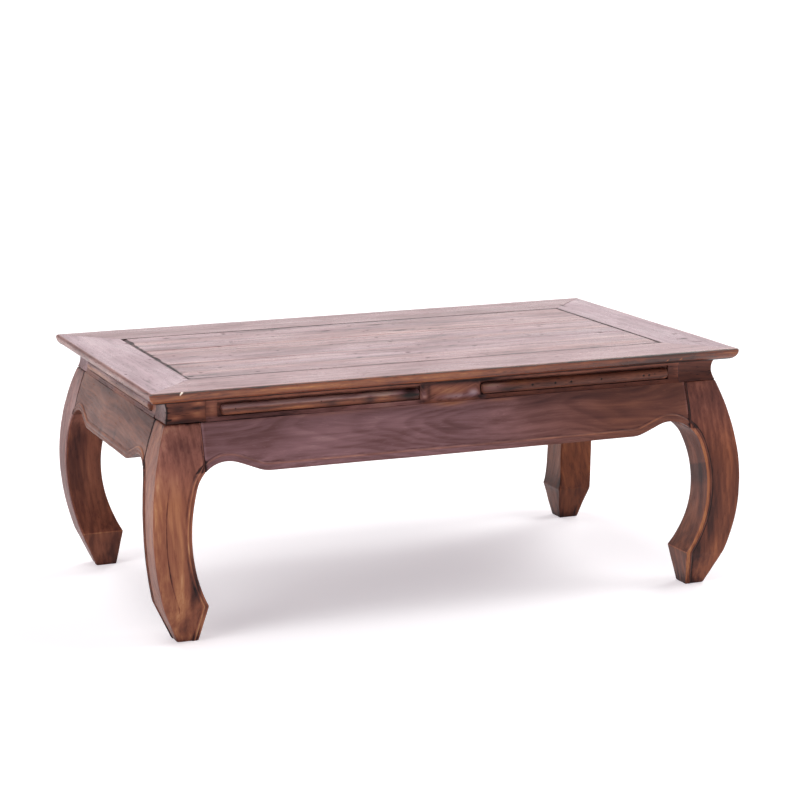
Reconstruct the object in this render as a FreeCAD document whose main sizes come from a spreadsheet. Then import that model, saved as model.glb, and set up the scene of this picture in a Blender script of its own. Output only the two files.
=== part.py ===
"""Opium table: a low waisted table with bulging legs, cusped aprons and a mitred, panelled top.

Frame: X along the length, Y across with the front at -Y, Z up, origin on the floor under the middle.
Sides and corners are built in frames of their own: there "out" is measured outward from the line
of the feet's outer corners, "along" runs along the side, and the whole piece is turned into place.
"""
import FreeCAD, Part
import math
import os
import Sketcher
from collections import namedtuple

# Driving dimensions in millimetres.
SIZES = {
    # Overall
    "top_length": 1000.0,
    "top_width": 640.0,
    "table_height": 403.0,
    "foot_inset": 41.5,            # rim of the top to the outer corner of a foot
    "fit_clearance": 0.15,         # play of every tenon, tongue and housing
    # Top frame
    "frame_thickness": 19.0,
    "long_rail_width": 106.0,
    "end_rail_width": 91.0,
    "rim_arris_radius": 4.0,       # upper edge
    "rim_undercut": 13.5,          # how far the lower edge is cut back under the rim
    "rim_curve_radius": 15.5,
    "corner_tenon_length": 50.0,
    "corner_tenon_width": 24.0,
    "corner_tenon_thickness": 6.0,
    "corner_tenon_offset": 12.0,   # from the inner edge of the rail
    # Panel boards and the bearers under them
    "panel_thickness": 13.0,
    "panel_seam": 1.5,             # open seam between panel and frame
    "board_seam": 0.5,             # open seam between two boards
    "tongue_length": 8.0,
    "tongue_thickness": 5.0,
    "tongue_lip": 4.0,             # wood above a tongue
    "bearer_width": 40.0,
    "bearer_depth": 26.0,
    "bearer_spacing": 440.0,
    "bearer_housing": 5.0,         # depth of its seat in the waist
    # Waist: coved boards between corner blocks
    "waist_height": 36.0,
    "waist_flare": 12.4,           # out, at both edges of the cove
    "waist_back": 14.0,            # inward, to the flat back of the boards
    "cove_radius": 36.0,
    "corner_block_inset": 54.5,    # inward, to the ends of the boards
    # Half-round slats laid in channels of the waist
    "slat_height": 20.0,
    "slat_edge": 3.0,              # square edge behind the round
    "slat_crown": 8.0,             # rise of the round
    "slat_corner_radius": 6.0,
    "slat_end_margin": 20.0,       # corner block to the end of a slat
    "slat_middle_gap": 106.0,      # between the two slats of a long side
    "channel_out": 4.0,            # out, to the floor of a channel
    "channel_play": 1.2,           # open line round a slat
    "pin_width": 2.0,              # square brads
    "pin_length": 19.0,
    "pin_end_distance": 26.0,
    # Legs: one outline sawn in both directions
    "leg_belly": 43.5,             # out, at the widest point
    "shoulder_step": 31.5,         # belly back to the shoulder
    "heel_step": 18.4,             # belly back to the outer edge of the heel
    "heel_height": 58.0,
    "foot_width": 35.0,
    "leg_thickness": 61.5,         # at the narrow place
    "arch_step": 9.5,              # narrow place back to the side of the arch
    "heel_inner_step": 28.2,       # narrow place back to the inner edge of the heel
    "heel_inner_height": 61.0,
    "leg_inset": 44.5,             # inward, to the faces that the aprons butt against
    "post_inset": 15.5,            # inward, to the axis of the post above the shoulder
    "post_width": 32.0,
    "stub_width": 20.0,
    "stub_height": 11.0,
    # Aprons
    "apron_thickness": 24.0,
    "apron_depth": 79.5,
    "arch_rise": 19.0,             # straight lower edge to the top of the arch
    "arch_radius": 53.0,
    "cusp_radius": 35.0,           # where the straight lower edge turns up
    "ramp_angle": 21.0,            # slope between cusp and arch, in degrees
    "apron_tenon_length": 25.0,
    "apron_tenon_height": 34.0,
    "apron_tenon_thickness": 8.0,
    "apron_tenon_drop": 10.0,      # shoulder to the top of the tenon
    "apron_tenon_cheek": 6.0,      # wood outside the tenon
    "bead_width": 11.0,
    "bead_relief": 1.5,
}
BOARD_COUNT = 3
PINS_PER_SLAT = 3

LEFT_TURN = 1
RIGHT_TURN = -1
UPRIGHT_ALONG = FreeCAD.Rotation(FreeCAD.Vector(1, 0, 0), 90)      # sketch plane XZ
UPRIGHT_ACROSS = FreeCAD.Rotation(FreeCAD.Vector(1, 1, 1), 120)    # sketch plane YZ
LYING = FreeCAD.Rotation()                                         # sketch plane XY
ALONG = FreeCAD.Vector(1, 0, 0)
OUT = FreeCAD.Vector(0, 1, 0)
UP = FreeCAD.Vector(0, 0, 1)

doc = FreeCAD.newDocument("opium_table")
sheet = doc.addObject("Spreadsheet::Sheet", "Sizes")
worked_out = doc.addObject("Spreadsheet::Sheet", "WorkedOut")


def write_cell(page, row, alias, content):
    page.set(f"A{row}", alias)
    page.set(f"B{row}", content)
    page.setAlias(f"B{row}", alias)


for row, (alias, number) in enumerate(SIZES.items(), start=1):
    write_cell(sheet, row, alias, str(number))
doc.recompute()


class Size:
    """A length in millimetres together with the sheet formula that drives it."""

    def __init__(self, value, formula):
        self.value = value
        self.formula = formula

    def __add__(self, other):
        other = as_size(other)
        return Size(self.value + other.value, f"({self.formula} + {other.formula})")

    def __sub__(self, other):
        other = as_size(other)
        return Size(self.value - other.value, f"({self.formula} - {other.formula})")

    def __mul__(self, other):
        other = as_size(other)
        return Size(self.value * other.value, f"({self.formula} * {other.formula})")

    def __truediv__(self, other):
        other = as_size(other)
        return Size(self.value / other.value, f"({self.formula} / {other.formula})")

    def __neg__(self):
        return Size(-self.value, f"(0 - {self.formula})")

    def root(self):
        return Size(math.sqrt(self.value), f"sqrt({self.formula})")

    def sine(self):
        return Size(math.sin(math.radians(self.value)), f"sin({self.formula})")

    def cosine(self):
        return Size(math.cos(math.radians(self.value)), f"cos({self.formula})")


def as_size(item):
    return item if isinstance(item, Size) else Size(float(item), f"{item}")


def size(alias):
    return Size(SIZES[alias], f"Sizes.{alias}")


def leg_of(hypotenuse, side):
    """The other side of a right-angled triangle."""
    return (hypotenuse * hypotenuse - side * side).root()


def work_out(row, alias, result):
    """A result kept in a cell of its own, so that formulas stay short."""
    write_cell(worked_out, row, alias, f"={result.formula}")
    return Size(result.value, f"WorkedOut.{alias}")


def arc_rise(span, low_step, high_step, high_square):
    """Height of an arc's furthest place above its lower end.

    The lower end lies low_step back from that place. The upper end lies span higher, and the square
    of its height above that place is the diameter times high_step, less high_square.
    """
    constant = span * span + high_square - high_step * low_step
    return constant / (span + (span * span - (as_size(1) - high_step / low_step) * constant).root())


def arc_radius(rise, step):
    """Radius of an arc whose end lies a rise below its furthest place and a step back from it."""
    return (rise * rise + step * step) / (step * 2)


# Heights and half spans that several pieces share.
ZERO = as_size(0)
top = size("table_height")
frame_under = top - size("frame_thickness")
shoulder = frame_under - size("waist_height")
apron_low = shoulder - size("apron_depth")
half_length = size("top_length") / 2
half_width = size("top_width") / 2
foot_x = half_length - size("foot_inset")
foot_y = half_width - size("foot_inset")
clearance = size("fit_clearance")
panel_x = half_length - size("end_rail_width")
panel_y = half_width - size("long_rail_width")
tongue_top = top - size("tongue_lip")
tongue_low = tongue_top - size("tongue_thickness")
overrun = size("leg_belly")         # how far a saw cut runs on past the wood

# The arc of the bulge, through the shoulder and the heel.
bulge_rise = work_out(1, "bulge_rise", arc_rise(
    shoulder - size("heel_height"),
    size("heel_step"),
    size("shoulder_step"),
    size("shoulder_step") * size("shoulder_step"),
))
bulge_up = size("heel_height") + bulge_rise
bulge_radius = work_out(2, "bulge_radius", arc_radius(bulge_rise, size("heel_step")))

# The arc of an apron's arch, and that of a leg's inner edge, which runs into it without a corner.
narrow_out = size("leg_belly") - size("leg_thickness")
arch_out = narrow_out - size("arch_step") - size("arch_radius")
arch_up = apron_low + size("arch_rise") - size("arch_radius")
inner_rise = work_out(3, "inner_rise", arc_rise(
    arch_up - size("heel_inner_height"),
    size("heel_inner_step"),
    size("arch_step"),
    size("arch_step") * (size("arch_radius") * 2 + size("arch_step")),
))
inner_up = size("heel_inner_height") + inner_rise
inner_radius = work_out(4, "inner_radius", arc_radius(inner_rise, size("heel_inner_step")))
inner_out = narrow_out - inner_radius

Corner = namedtuple("Corner", "across up radius turn", defaults=(None, None))


def bulge(height, proud=ZERO):
    """Out position of the bulging face of legs and aprons at a height."""
    reach = leg_of(bulge_radius + proud, height - bulge_up)
    return size("leg_belly") - bulge_radius + reach


def bind(item, **sizes):
    for name, value in sizes.items():
        item.setExpression(name.replace("_", "."), value.formula)


def arc_between(first, last, radius, turn):
    """The short arc from first to last that bends to the side named by turn."""
    chord = last - first
    middle = (first + last) / 2
    to_left = FreeCAD.Vector(-chord.y, chord.x, 0).normalize()
    offset = math.sqrt(max(radius ** 2 - (chord.Length / 2) ** 2, 0))
    centre = middle + to_left * offset * turn
    start, end = (first, last) if turn == LEFT_TURN else (last, first)
    angles = [math.atan2(point.y - centre.y, point.x - centre.x) for point in (start, end)]
    return Part.ArcOfCircle(Part.Circle(centre, UP, radius), *angles)


def outline(name, rotation, corners):
    """A closed sketch; a corner's radius and turn shape the stroke that arrives at it."""
    sketch = doc.addObject("Sketcher::SketchObject", f"{name}_sketch")
    sketch.Placement = FreeCAD.Placement(FreeCAD.Vector(), rotation)
    points = [FreeCAD.Vector(corner.across.value, corner.up.value, 0) for corner in corners]
    ends = []
    for index, corner in enumerate(corners):
        before, here = points[index - 1], points[index]
        if corner.radius is None:
            stroke = sketch.addGeometry(Part.LineSegment(before, here))
        else:
            stroke = sketch.addGeometry(arc_between(before, here, corner.radius.value, corner.turn))
        reverse = corner.turn == RIGHT_TURN
        ends.append((stroke, 2, 1) if reverse else (stroke, 1, 2))
    for index, corner in enumerate(corners):
        stroke, _, finish = ends[index]
        following, begin, _ = ends[(index + 1) % len(corners)]
        sketch.addConstraint(Sketcher.Constraint("Coincident", stroke, finish, following, begin))
        measures = [("DistanceX", corner.across), ("DistanceY", corner.up)]
        for kind, measure in measures:
            rule = Sketcher.Constraint(kind, -1, 1, stroke, finish, measure.value)
            number = sketch.addConstraint(rule)
            sketch.setExpression(f"Constraints[{number}]", measure.formula)
        if corner.radius is not None:
            number = sketch.addConstraint(Sketcher.Constraint("Radius", stroke, corner.radius.value))
            sketch.setExpression(f"Constraints[{number}]", corner.radius.formula)
    return sketch


def extrude(sketch, direction, half):
    """A sketch drawn out equally far to both sides of its plane."""
    solid = doc.addObject("Part::Extrusion", sketch.Name.replace("_sketch", "_sawn"))
    solid.Base = sketch
    solid.DirMode = "Custom"
    solid.Dir = direction
    solid.Solid = True
    bind(solid, LengthFwd=half, LengthRev=half)
    return solid


def box(name, along, out, up):
    """A block between two limits in each direction."""
    block = doc.addObject("Part::Box", name)
    bind(block, Length=along[1] - along[0], Width=out[1] - out[0], Height=up[1] - up[0])
    bind(block, Placement_Base_x=along[0], Placement_Base_y=out[0], Placement_Base_z=up[0])
    return block


def common(name, base, tool):
    item = doc.addObject("Part::Common", name)
    item.Base = base
    item.Tool = tool
    return item


def cut(name, base, *tools):
    for number, tool in enumerate(tools, start=1):
        item = doc.addObject("Part::Cut", f"{name}_cut{number}")
        item.Base = base
        item.Tool = tool
        base = item
    return base


def fuse(name, *parts):
    item = doc.addObject("Part::MultiFuse", name)
    item.Shapes = list(parts)
    item.Refine = True
    return item


def centred(half):
    return (-half, half)


SubPart = namedtuple("SubPart", "item label")
sub_parts = []


def finish(item, label, degrees=0, x=ZERO, y=ZERO):
    """Name a finished piece and turn and move it to its place on the table."""
    item.Label = label
    item.Placement = FreeCAD.Placement(FreeCAD.Vector(), FreeCAD.Rotation(UP, degrees))
    bind(item, Placement_Base_x=x, Placement_Base_y=y)
    sub_parts.append(SubPart(item, label))


Side = namedtuple("Side", "name degrees x y half_span half_depth rail_half rail_width cross_width")
SIDES = (
    Side("back", 0, ZERO, foot_y, foot_x, half_width, half_length,
         size("long_rail_width"), size("end_rail_width")),
    Side("left", 90, -foot_x, ZERO, foot_y, half_length, half_width,
         size("end_rail_width"), size("long_rail_width")),
    Side("front", 180, ZERO, -foot_y, foot_x, half_width, half_length,
         size("long_rail_width"), size("end_rail_width")),
    Side("right", 270, foot_x, ZERO, foot_y, half_length, half_width,
         size("end_rail_width"), size("long_rail_width")),
)
LONG_SIDES = ("back", "front")
CORNERS = (
    ("back_right", 0, foot_x, foot_y),
    ("back_left", 90, -foot_x, foot_y),
    ("front_left", 180, -foot_x, -foot_y),
    ("front_right", 270, foot_x, -foot_y),
)


# Legs

def inner_arc_out(height, margin):
    """Out position of a leg's inner edge, or of a line at a margin inside the wood."""
    return inner_out + leg_of(inner_radius + margin, height - inner_up)


def inner_edge(margin):
    """Corners down a leg's inner edge, from the apron joint to the floor, at a margin inside it."""
    inset = size("leg_inset")
    ratio = (inner_radius + margin) / (inner_radius - size("arch_radius"))
    joint_up = arch_up + leg_of(size("arch_radius") + margin, inset + arch_out)
    heel_up = size("heel_inner_height")
    return [
        Corner(-inset, joint_up),
        Corner(inner_out + (arch_out - inner_out) * ratio, inner_up + (arch_up - inner_up) * ratio,
               size("arch_radius") + margin, RIGHT_TURN),
        Corner(inner_arc_out(heel_up, margin), heel_up,
               inner_radius + margin, RIGHT_TURN),
        Corner(margin - size("foot_width"), ZERO),
    ]


def leg_outline(name, rotation):
    """The sawn outline, with its outer edge at the level of the bead."""
    proud = size("bead_relief")
    heel = size("heel_height")
    return outline(name, rotation, [
        Corner(proud, ZERO),
        Corner(bulge(heel, proud), heel),
        Corner(bulge(shoulder, proud), shoulder, bulge_radius + proud, LEFT_TURN),
        Corner(-size("leg_inset"), shoulder),
        *inner_edge(ZERO),
    ])


def leg_field(name, rotation):
    """The face of a leg as seen from the front, without the bead along its inner edge."""
    outside = size("leg_belly") + overrun
    return outline(name, rotation, [
        Corner(outside, ZERO),
        Corner(outside, shoulder),
        Corner(-size("leg_inset"), shoulder),
        *inner_edge(size("bead_width")),
    ])


def leg_waste(name, rotation):
    """The layer between the level of the bead and that of the field, seen in section."""
    heel = size("heel_height")
    outside = size("leg_belly") + overrun
    return outline(name, rotation, [
        Corner(ZERO, ZERO),
        Corner(outside, ZERO),
        Corner(outside, shoulder),
        Corner(bulge(shoulder), shoulder),
        Corner(bulge(heel), heel, bulge_radius, RIGHT_TURN),
    ])


def apron_tenon(name, start, length, play=ZERO):
    """The tenon of an apron, or with play the mortise for it, in the frame of its side."""
    high = shoulder - size("apron_tenon_drop")
    outer = bulge(high) - size("apron_tenon_cheek")
    return box(
        name,
        (start, start + length + play),
        (outer - size("apron_tenon_thickness") - play, outer + play),
        (high - size("apron_tenon_height") - play, high + play),
    )


def swapped(name, block):
    """The mirror image of a block across the diagonal of its corner."""
    image = doc.addObject("Part::Mirroring", name)
    image.Source = block
    image.Normal = FreeCAD.Vector(1, -1, 0)
    return image


def post(name, width, up, play=ZERO):
    half = width / 2 + play
    axis = -size("post_inset")
    return box(name, (axis - half, axis + half), (axis - half, axis + half), up)


def build_leg(corner, degrees, x, y):
    name = f"leg_{corner}"
    reach = (size("leg_belly") + size("leg_inset")) * 2
    sawn = common(
        f"{name}_blank",
        extrude(leg_outline(f"{name}_front", UPRIGHT_ALONG), OUT, reach),
        extrude(leg_outline(f"{name}_side", UPRIGHT_ACROSS), ALONG, reach),
    )
    front_field = common(
        f"{name}_front_field",
        extrude(leg_field(f"{name}_front_face", UPRIGHT_ALONG), OUT, reach),
        extrude(leg_waste(f"{name}_front_layer", UPRIGHT_ACROSS), ALONG, reach),
    )
    side_field = common(
        f"{name}_side_field",
        extrude(leg_field(f"{name}_side_face", UPRIGHT_ACROSS), ALONG, reach),
        extrude(leg_waste(f"{name}_side_layer", UPRIGHT_ALONG), OUT, reach),
    )
    mortise = apron_tenon(f"{name}_mortise", -size("leg_inset"), size("apron_tenon_length"), clearance)
    shaped = cut(name, sawn, front_field, side_field, mortise, swapped(f"{name}_mortise_b", mortise))
    stub_top = frame_under + size("stub_height")
    leg = fuse(
        name,
        shaped,
        post(f"{name}_post", size("post_width"), (shoulder, frame_under)),
        post(f"{name}_stub", size("stub_width"), (frame_under, stub_top)),
    )
    finish(leg, name, degrees, x, y)


# Aprons

def apron_edge(side, margin):
    """Corners along the lower edge from the left joint to the right one, at a margin inside it."""
    sine = size("ramp_angle").sine()
    cosine = size("ramp_angle").cosine()
    arch_x = side.half_span + arch_out
    cusp_up = apron_low + size("cusp_radius")
    bend = size("arch_radius") + size("cusp_radius")
    cusp_x = arch_x - bend * sine - (arch_up - cusp_up + bend * cosine) * cosine / sine
    joint_x = side.half_span - size("leg_inset")
    arch = size("arch_radius") + margin
    cusp = size("cusp_radius") - margin
    joint_up = arch_up + leg_of(arch, joint_x - arch_x)
    low = apron_low + margin
    ramp_x = cusp_x + cusp * sine
    ramp_up = cusp_up - cusp * cosine
    crest_x = arch_x - arch * sine
    crest_up = arch_up + arch * cosine
    return [
        Corner(-joint_x, joint_up),
        Corner(-crest_x, crest_up, arch, RIGHT_TURN),
        Corner(-ramp_x, ramp_up),
        Corner(-cusp_x, low, cusp, LEFT_TURN),
        Corner(cusp_x, low),
        Corner(ramp_x, ramp_up, cusp, LEFT_TURN),
        Corner(crest_x, crest_up),
        Corner(joint_x, joint_up, arch, RIGHT_TURN),
    ]


def apron_face(name, side, margin):
    joint_x = side.half_span - size("leg_inset")
    return outline(name, UPRIGHT_ALONG, [
        *apron_edge(side, margin),
        Corner(joint_x, shoulder),
        Corner(-joint_x, shoulder),
    ])


def apron_section(name):
    """A board of even thickness, bent out like the legs, at the level of the bead."""
    proud = size("bead_relief")
    thickness = size("apron_thickness")
    return outline(name, UPRIGHT_ACROSS, [
        Corner(bulge(apron_low) - thickness, apron_low),
        Corner(bulge(apron_low, proud), apron_low),
        Corner(bulge(shoulder, proud), shoulder, bulge_radius + proud, LEFT_TURN),
        Corner(bulge(shoulder) - thickness, shoulder),
    ])


def apron_waste(name):
    """The layer between the level of the bead and that of the field, seen in section."""
    outside = size("leg_belly") + overrun
    return outline(name, UPRIGHT_ACROSS, [
        Corner(outside, apron_low),
        Corner(outside, shoulder),
        Corner(bulge(shoulder), shoulder),
        Corner(bulge(apron_low), apron_low, bulge_radius, RIGHT_TURN),
    ])


def build_apron(side):
    name = f"apron_{side.name}"
    reach = (size("leg_belly") + size("leg_inset")) * 2
    joint_x = side.half_span - size("leg_inset")
    length = size("apron_tenon_length")
    board = common(
        f"{name}_board",
        extrude(apron_face(f"{name}_face", side, ZERO), OUT, reach),
        extrude(apron_section(f"{name}_section"), ALONG, joint_x),
    )
    field = common(
        f"{name}_field",
        extrude(apron_face(f"{name}_field_face", side, size("bead_width")), OUT, reach),
        extrude(apron_waste(f"{name}_layer"), ALONG, joint_x),
    )
    apron = fuse(
        name,
        cut(name, board, field),
        apron_tenon(f"{name}_tenon_right", joint_x, length),
        apron_tenon(f"{name}_tenon_left", -joint_x - length, length),
    )
    finish(apron, name, side.degrees, side.x, side.y)


# Waist: corner blocks, coved boards, slats and their pins

def waist_section(name, rotation, back):
    flare = size("waist_flare")
    return outline(name, rotation, [
        Corner(-back, shoulder),
        Corner(flare, shoulder),
        Corner(flare, frame_under, size("cove_radius"), RIGHT_TURN),
        Corner(-back, frame_under),
    ])


def build_corner_block(corner, degrees, x, y):
    """A block with the cove on two faces, threaded on the post of its leg."""
    name = f"waist_block_{corner}"
    inset = size("corner_block_inset")
    reach = inset + size("waist_flare")
    block = common(
        f"{name}_blank",
        extrude(waist_section(f"{name}_front", UPRIGHT_ALONG, inset), OUT, reach),
        extrude(waist_section(f"{name}_side", UPRIGHT_ACROSS, inset), ALONG, reach),
    )
    hole = post(f"{name}_hole", size("post_width"), (shoulder, frame_under), clearance)
    finish(cut(name, block, hole), name, degrees, x, y)


SlatPlace = namedtuple("SlatPlace", "label start end")
slat_up = (shoulder + frame_under) / 2


def slat_places(side):
    """Name and limits of each slat along a side: two on a long side, one on a short side."""
    end = side.half_span - size("corner_block_inset") - size("slat_end_margin")
    if side.name not in LONG_SIDES:
        return [SlatPlace(f"waist_slat_{side.name}", -end, end)]
    middle = size("slat_middle_gap") / 2
    hands = ("right", "left") if side.name == "back" else ("left", "right")
    return [
        SlatPlace(f"waist_slat_{side.name}_{hands[0]}", middle, end),
        SlatPlace(f"waist_slat_{side.name}_{hands[1]}", -end, -middle),
    ]


def channel(place):
    """The room for a slat, with an open line all round it."""
    play = size("channel_play")
    half = size("slat_height") / 2 + play
    return box(
        f"{place.label}_channel",
        (place.start - play, place.end + play),
        (size("channel_out"), size("channel_out") + overrun),
        (slat_up - half, slat_up + half),
    )


def pin_row(place, prefix, play):
    """Brads from the crown of a slat straight into the board, or with play the holes for them."""
    first = place.start + size("pin_end_distance")
    last = place.end - size("pin_end_distance")
    crown = size("channel_out") + size("slat_edge") + size("slat_crown")
    half = size("pin_width") / 2 + play
    row = []
    for number in range(PINS_PER_SLAT):
        along = first + (last - first) * number / (PINS_PER_SLAT - 1)
        row.append(box(
            f"{place.label}_{prefix}{number}",
            (along - half, along + half),
            (crown - size("pin_length") - play, crown + play),
            (slat_up - half, slat_up + half),
        ))
    return row


def gather(name, items):
    group = doc.addObject("Part::Compound", name)
    group.Links = items
    return group


def pin_holes(place):
    return gather(f"{place.label}_holes", pin_row(place, "hole", clearance))


def build_waist_board(side):
    name = f"waist_board_{side.name}"
    back = size("waist_back")
    half = side.half_span - size("corner_block_inset")
    board = extrude(waist_section(name, UPRIGHT_ACROSS, back), ALONG, half)
    tools = []
    for place in slat_places(side):
        tools += [channel(place), pin_holes(place)]
    if side.name in LONG_SIDES:
        tools += [bearer_seat(name, -1), bearer_seat(name, 1)]
    finish(cut(name, board, *tools), name, side.degrees, side.x, side.y)


def bearer_seat(name, hand):
    """The housing at the back of a waist board for the end of a bearer."""
    middle = size("bearer_spacing") / 2 * hand
    half = size("bearer_width") / 2 + clearance
    back = -size("waist_back")
    low = frame_under - size("bearer_depth") - clearance
    return box(
        f"{name}_seat_{'right' if hand > 0 else 'left'}",
        (middle - half, middle + half),
        (back, back + size("bearer_housing") + clearance),
        (low, frame_under),
    )


def slat_face(place):
    half = size("slat_height") / 2
    radius = size("slat_corner_radius")
    low, high = slat_up - half, slat_up + half
    return outline(f"{place.label}_face", UPRIGHT_ALONG, [
        Corner(place.start + radius, low, radius, LEFT_TURN),
        Corner(place.end - radius, low),
        Corner(place.end, low + radius, radius, LEFT_TURN),
        Corner(place.end, high - radius),
        Corner(place.end - radius, high, radius, LEFT_TURN),
        Corner(place.start + radius, high),
        Corner(place.start, high - radius, radius, LEFT_TURN),
        Corner(place.start, low + radius),
    ])


def slat_section(place):
    half = size("slat_height") / 2
    crown = size("slat_crown")
    back = size("channel_out")
    edge = back + size("slat_edge")
    round_radius = (half * half + crown * crown) / (crown * 2)
    return outline(f"{place.label}_section", UPRIGHT_ACROSS, [
        Corner(back, slat_up - half),
        Corner(edge, slat_up - half),
        Corner(edge, slat_up + half, round_radius, LEFT_TURN),
        Corner(back, slat_up + half),
    ])


def build_slats(side):
    for place in slat_places(side):
        bar = common(
            f"{place.label}_bar",
            extrude(slat_section(place), ALONG, side.half_span),
            extrude(slat_face(place), OUT, size("leg_belly") + overrun),
        )
        finish(cut(place.label, bar, pin_holes(place)), place.label, side.degrees, side.x, side.y)


def build_pins():
    rows = []
    for side in SIDES:
        pins = []
        for place in slat_places(side):
            pins += pin_row(place, "pin", ZERO)
        row = gather(f"pins_{side.name}", pins)
        row.Placement = FreeCAD.Placement(FreeCAD.Vector(), FreeCAD.Rotation(UP, side.degrees))
        bind(row, Placement_Base_x=side.x, Placement_Base_y=side.y)
        rows.append(row)
    finish(gather("slat_pins", rows), "slat_pins")


# Top: mitred frame, tongued boards and bearers

def rail_section(name, side):
    outer = side.half_depth
    inner = outer - side.rail_width
    arris = size("rim_arris_radius")
    return outline(f"{name}_section", UPRIGHT_ACROSS, [
        Corner(inner, frame_under),
        Corner(outer - size("rim_undercut"), frame_under),
        Corner(outer, top - arris, size("rim_curve_radius"), LEFT_TURN),
        Corner(outer - arris, top, arris, LEFT_TURN),
        Corner(inner, top),
    ])


def rail_plan(name, side):
    """The mitred plan, run on past the rim."""
    outer = side.half_depth + overrun
    inner = side.half_depth - side.rail_width
    inner_x = side.rail_half - side.cross_width
    outer_x = side.rail_half + overrun * side.cross_width / side.rail_width
    return outline(f"{name}_plan", LYING, [
        Corner(-inner_x, inner),
        Corner(inner_x, inner),
        Corner(outer_x, outer),
        Corner(-outer_x, outer),
    ])


def corner_tenon(name, side, hand):
    """The tenon on a long rail's mitre, low in the inner half of the frame."""
    inner_x = side.rail_half - side.cross_width
    start = side.half_depth - side.rail_width + size("corner_tenon_offset")
    middle = (frame_under + top) / 2
    half = size("corner_tenon_thickness") / 2
    ends = (inner_x, inner_x + size("corner_tenon_length"))
    return box(
        f"{name}_tenon_{'right' if hand > 0 else 'left'}",
        ends if hand > 0 else (-ends[1], -ends[0]),
        (start, start + size("corner_tenon_width")),
        (middle - half, middle + half),
    )


def corner_mortise(name, side, hand):
    """The mortise in an end rail for the tenon on a long rail's mitre."""
    start = side.rail_half - side.cross_width + size("corner_tenon_offset") - clearance
    inner = side.half_depth - side.rail_width
    middle = (frame_under + top) / 2
    half = size("corner_tenon_thickness") / 2 + clearance
    ends = (start, start + size("corner_tenon_width") + clearance * 2)
    return box(
        f"{name}_mortise_{'right' if hand > 0 else 'left'}",
        ends if hand > 0 else (-ends[1], -ends[0]),
        (inner, inner + size("corner_tenon_length") + clearance),
        (middle - half, middle + half),
    )


def stub_mortise(name, side, hand):
    """The mortise under a mitre for the stub on top of a leg's post."""
    half = size("stub_width") / 2 + clearance
    along = (side.half_span - size("post_inset")) * hand
    out = side.half_depth - size("foot_inset") - size("post_inset")
    return box(
        f"{name}_stub_{'right' if hand > 0 else 'left'}",
        (along - half, along + half),
        (out - half, out + half),
        (frame_under, frame_under + size("stub_height") + clearance),
    )


def build_rail(side):
    name = f"top_rail_{side.name}"
    rail = common(
        f"{name}_mitred",
        extrude(rail_section(name, side), ALONG, side.rail_half + overrun),
        extrude(rail_plan(name, side), UP, top * 2),
    )
    inner = side.half_depth - side.rail_width
    groove = box(
        f"{name}_groove",
        centred(side.rail_half),
        (inner, inner + size("tongue_length") - size("panel_seam") + clearance),
        (tongue_low - clearance, tongue_top + clearance),
    )
    tools = [groove, stub_mortise(name, side, -1), stub_mortise(name, side, 1)]
    if side.name in LONG_SIDES:
        rail = fuse(f"{name}_tenoned", rail, corner_tenon(name, side, -1), corner_tenon(name, side, 1))
    else:
        tools += [corner_mortise(name, side, -1), corner_mortise(name, side, 1)]
    finish(cut(name, rail, *tools), name, side.degrees)


def build_boards():
    """Boards tongued into the frame at their ends and into each other along their edges."""
    half_x = panel_x - size("panel_seam")
    half_y = panel_y - size("panel_seam")
    seam = size("board_seam")
    pitch = (half_y * 2 + seam) / BOARD_COUNT
    length = size("tongue_length")
    for number in range(BOARD_COUNT):
        name = f"panel_board_{number + 1}"
        near = pitch * number - half_y
        far = near + pitch - seam
        first = number == 0
        core = box(f"{name}_core", centred(half_x), (near, far), (top - size("panel_thickness"), top))
        tongue = box(
            f"{name}_tongue",
            centred(half_x + length),
            (near - length if first else near, far + length),
            (tongue_low, tongue_top),
        )
        board = fuse(f"{name}_tongued", core, tongue)
        if not first:
            groove = box(
                f"{name}_groove",
                centred(half_x + length),
                (near, near + length - seam + clearance),
                (tongue_low - clearance, tongue_top + clearance),
            )
            board = cut(name, board, groove)
        finish(board, name)


def build_bearers():
    """Cross bearers housed in the waist, with a raised part under the panel."""
    end = foot_y - size("waist_back") + size("bearer_housing")
    half = size("bearer_width") / 2
    for hand, word in ((-1, "left"), (1, "right")):
        name = f"cross_bearer_{word}"
        middle = size("bearer_spacing") / 2 * hand
        sides = (middle - half, middle + half)
        beam = box(f"{name}_beam", sides, centred(end), (frame_under - size("bearer_depth"), frame_under))
        pad = box(
            f"{name}_pad",
            sides,
            centred(panel_y - clearance),
            (frame_under, top - size("panel_thickness")),
        )
        finish(fuse(name, beam, pad), name)


for corner_frame in CORNERS:
    build_leg(*corner_frame)
    build_corner_block(*corner_frame)
for side in SIDES:
    build_apron(side)
    build_waist_board(side)
    build_slats(side)
    build_rail(side)
build_pins()
build_boards()
build_bearers()
doc.recompute()

for item in doc.Objects:
    if "Invalid" in item.State or "Error" in item.State:
        raise RuntimeError(f"{item.Name} failed: {item.State}")
for sub_part in sub_parts:
    shape = sub_part.item.Shape
    if shape.isNull() or not shape.isValid() or not shape.Solids:
        raise RuntimeError(f"{sub_part.label} has no valid solid")

os.makedirs("parts", exist_ok=True)
for sub_part in sub_parts:
    sub_part.item.Shape.exportStep(f"parts/{sub_part.label}.step")
    solids = sub_part.item.Shape.Solids
    print(f"{sub_part.label}: {len(solids)} solid(s), {sub_part.item.Shape.Volume / 1000:.1f} cm3")
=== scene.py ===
import math

import bmesh
import bpy
import numpy as np
from mathutils import Matrix, Vector


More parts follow.
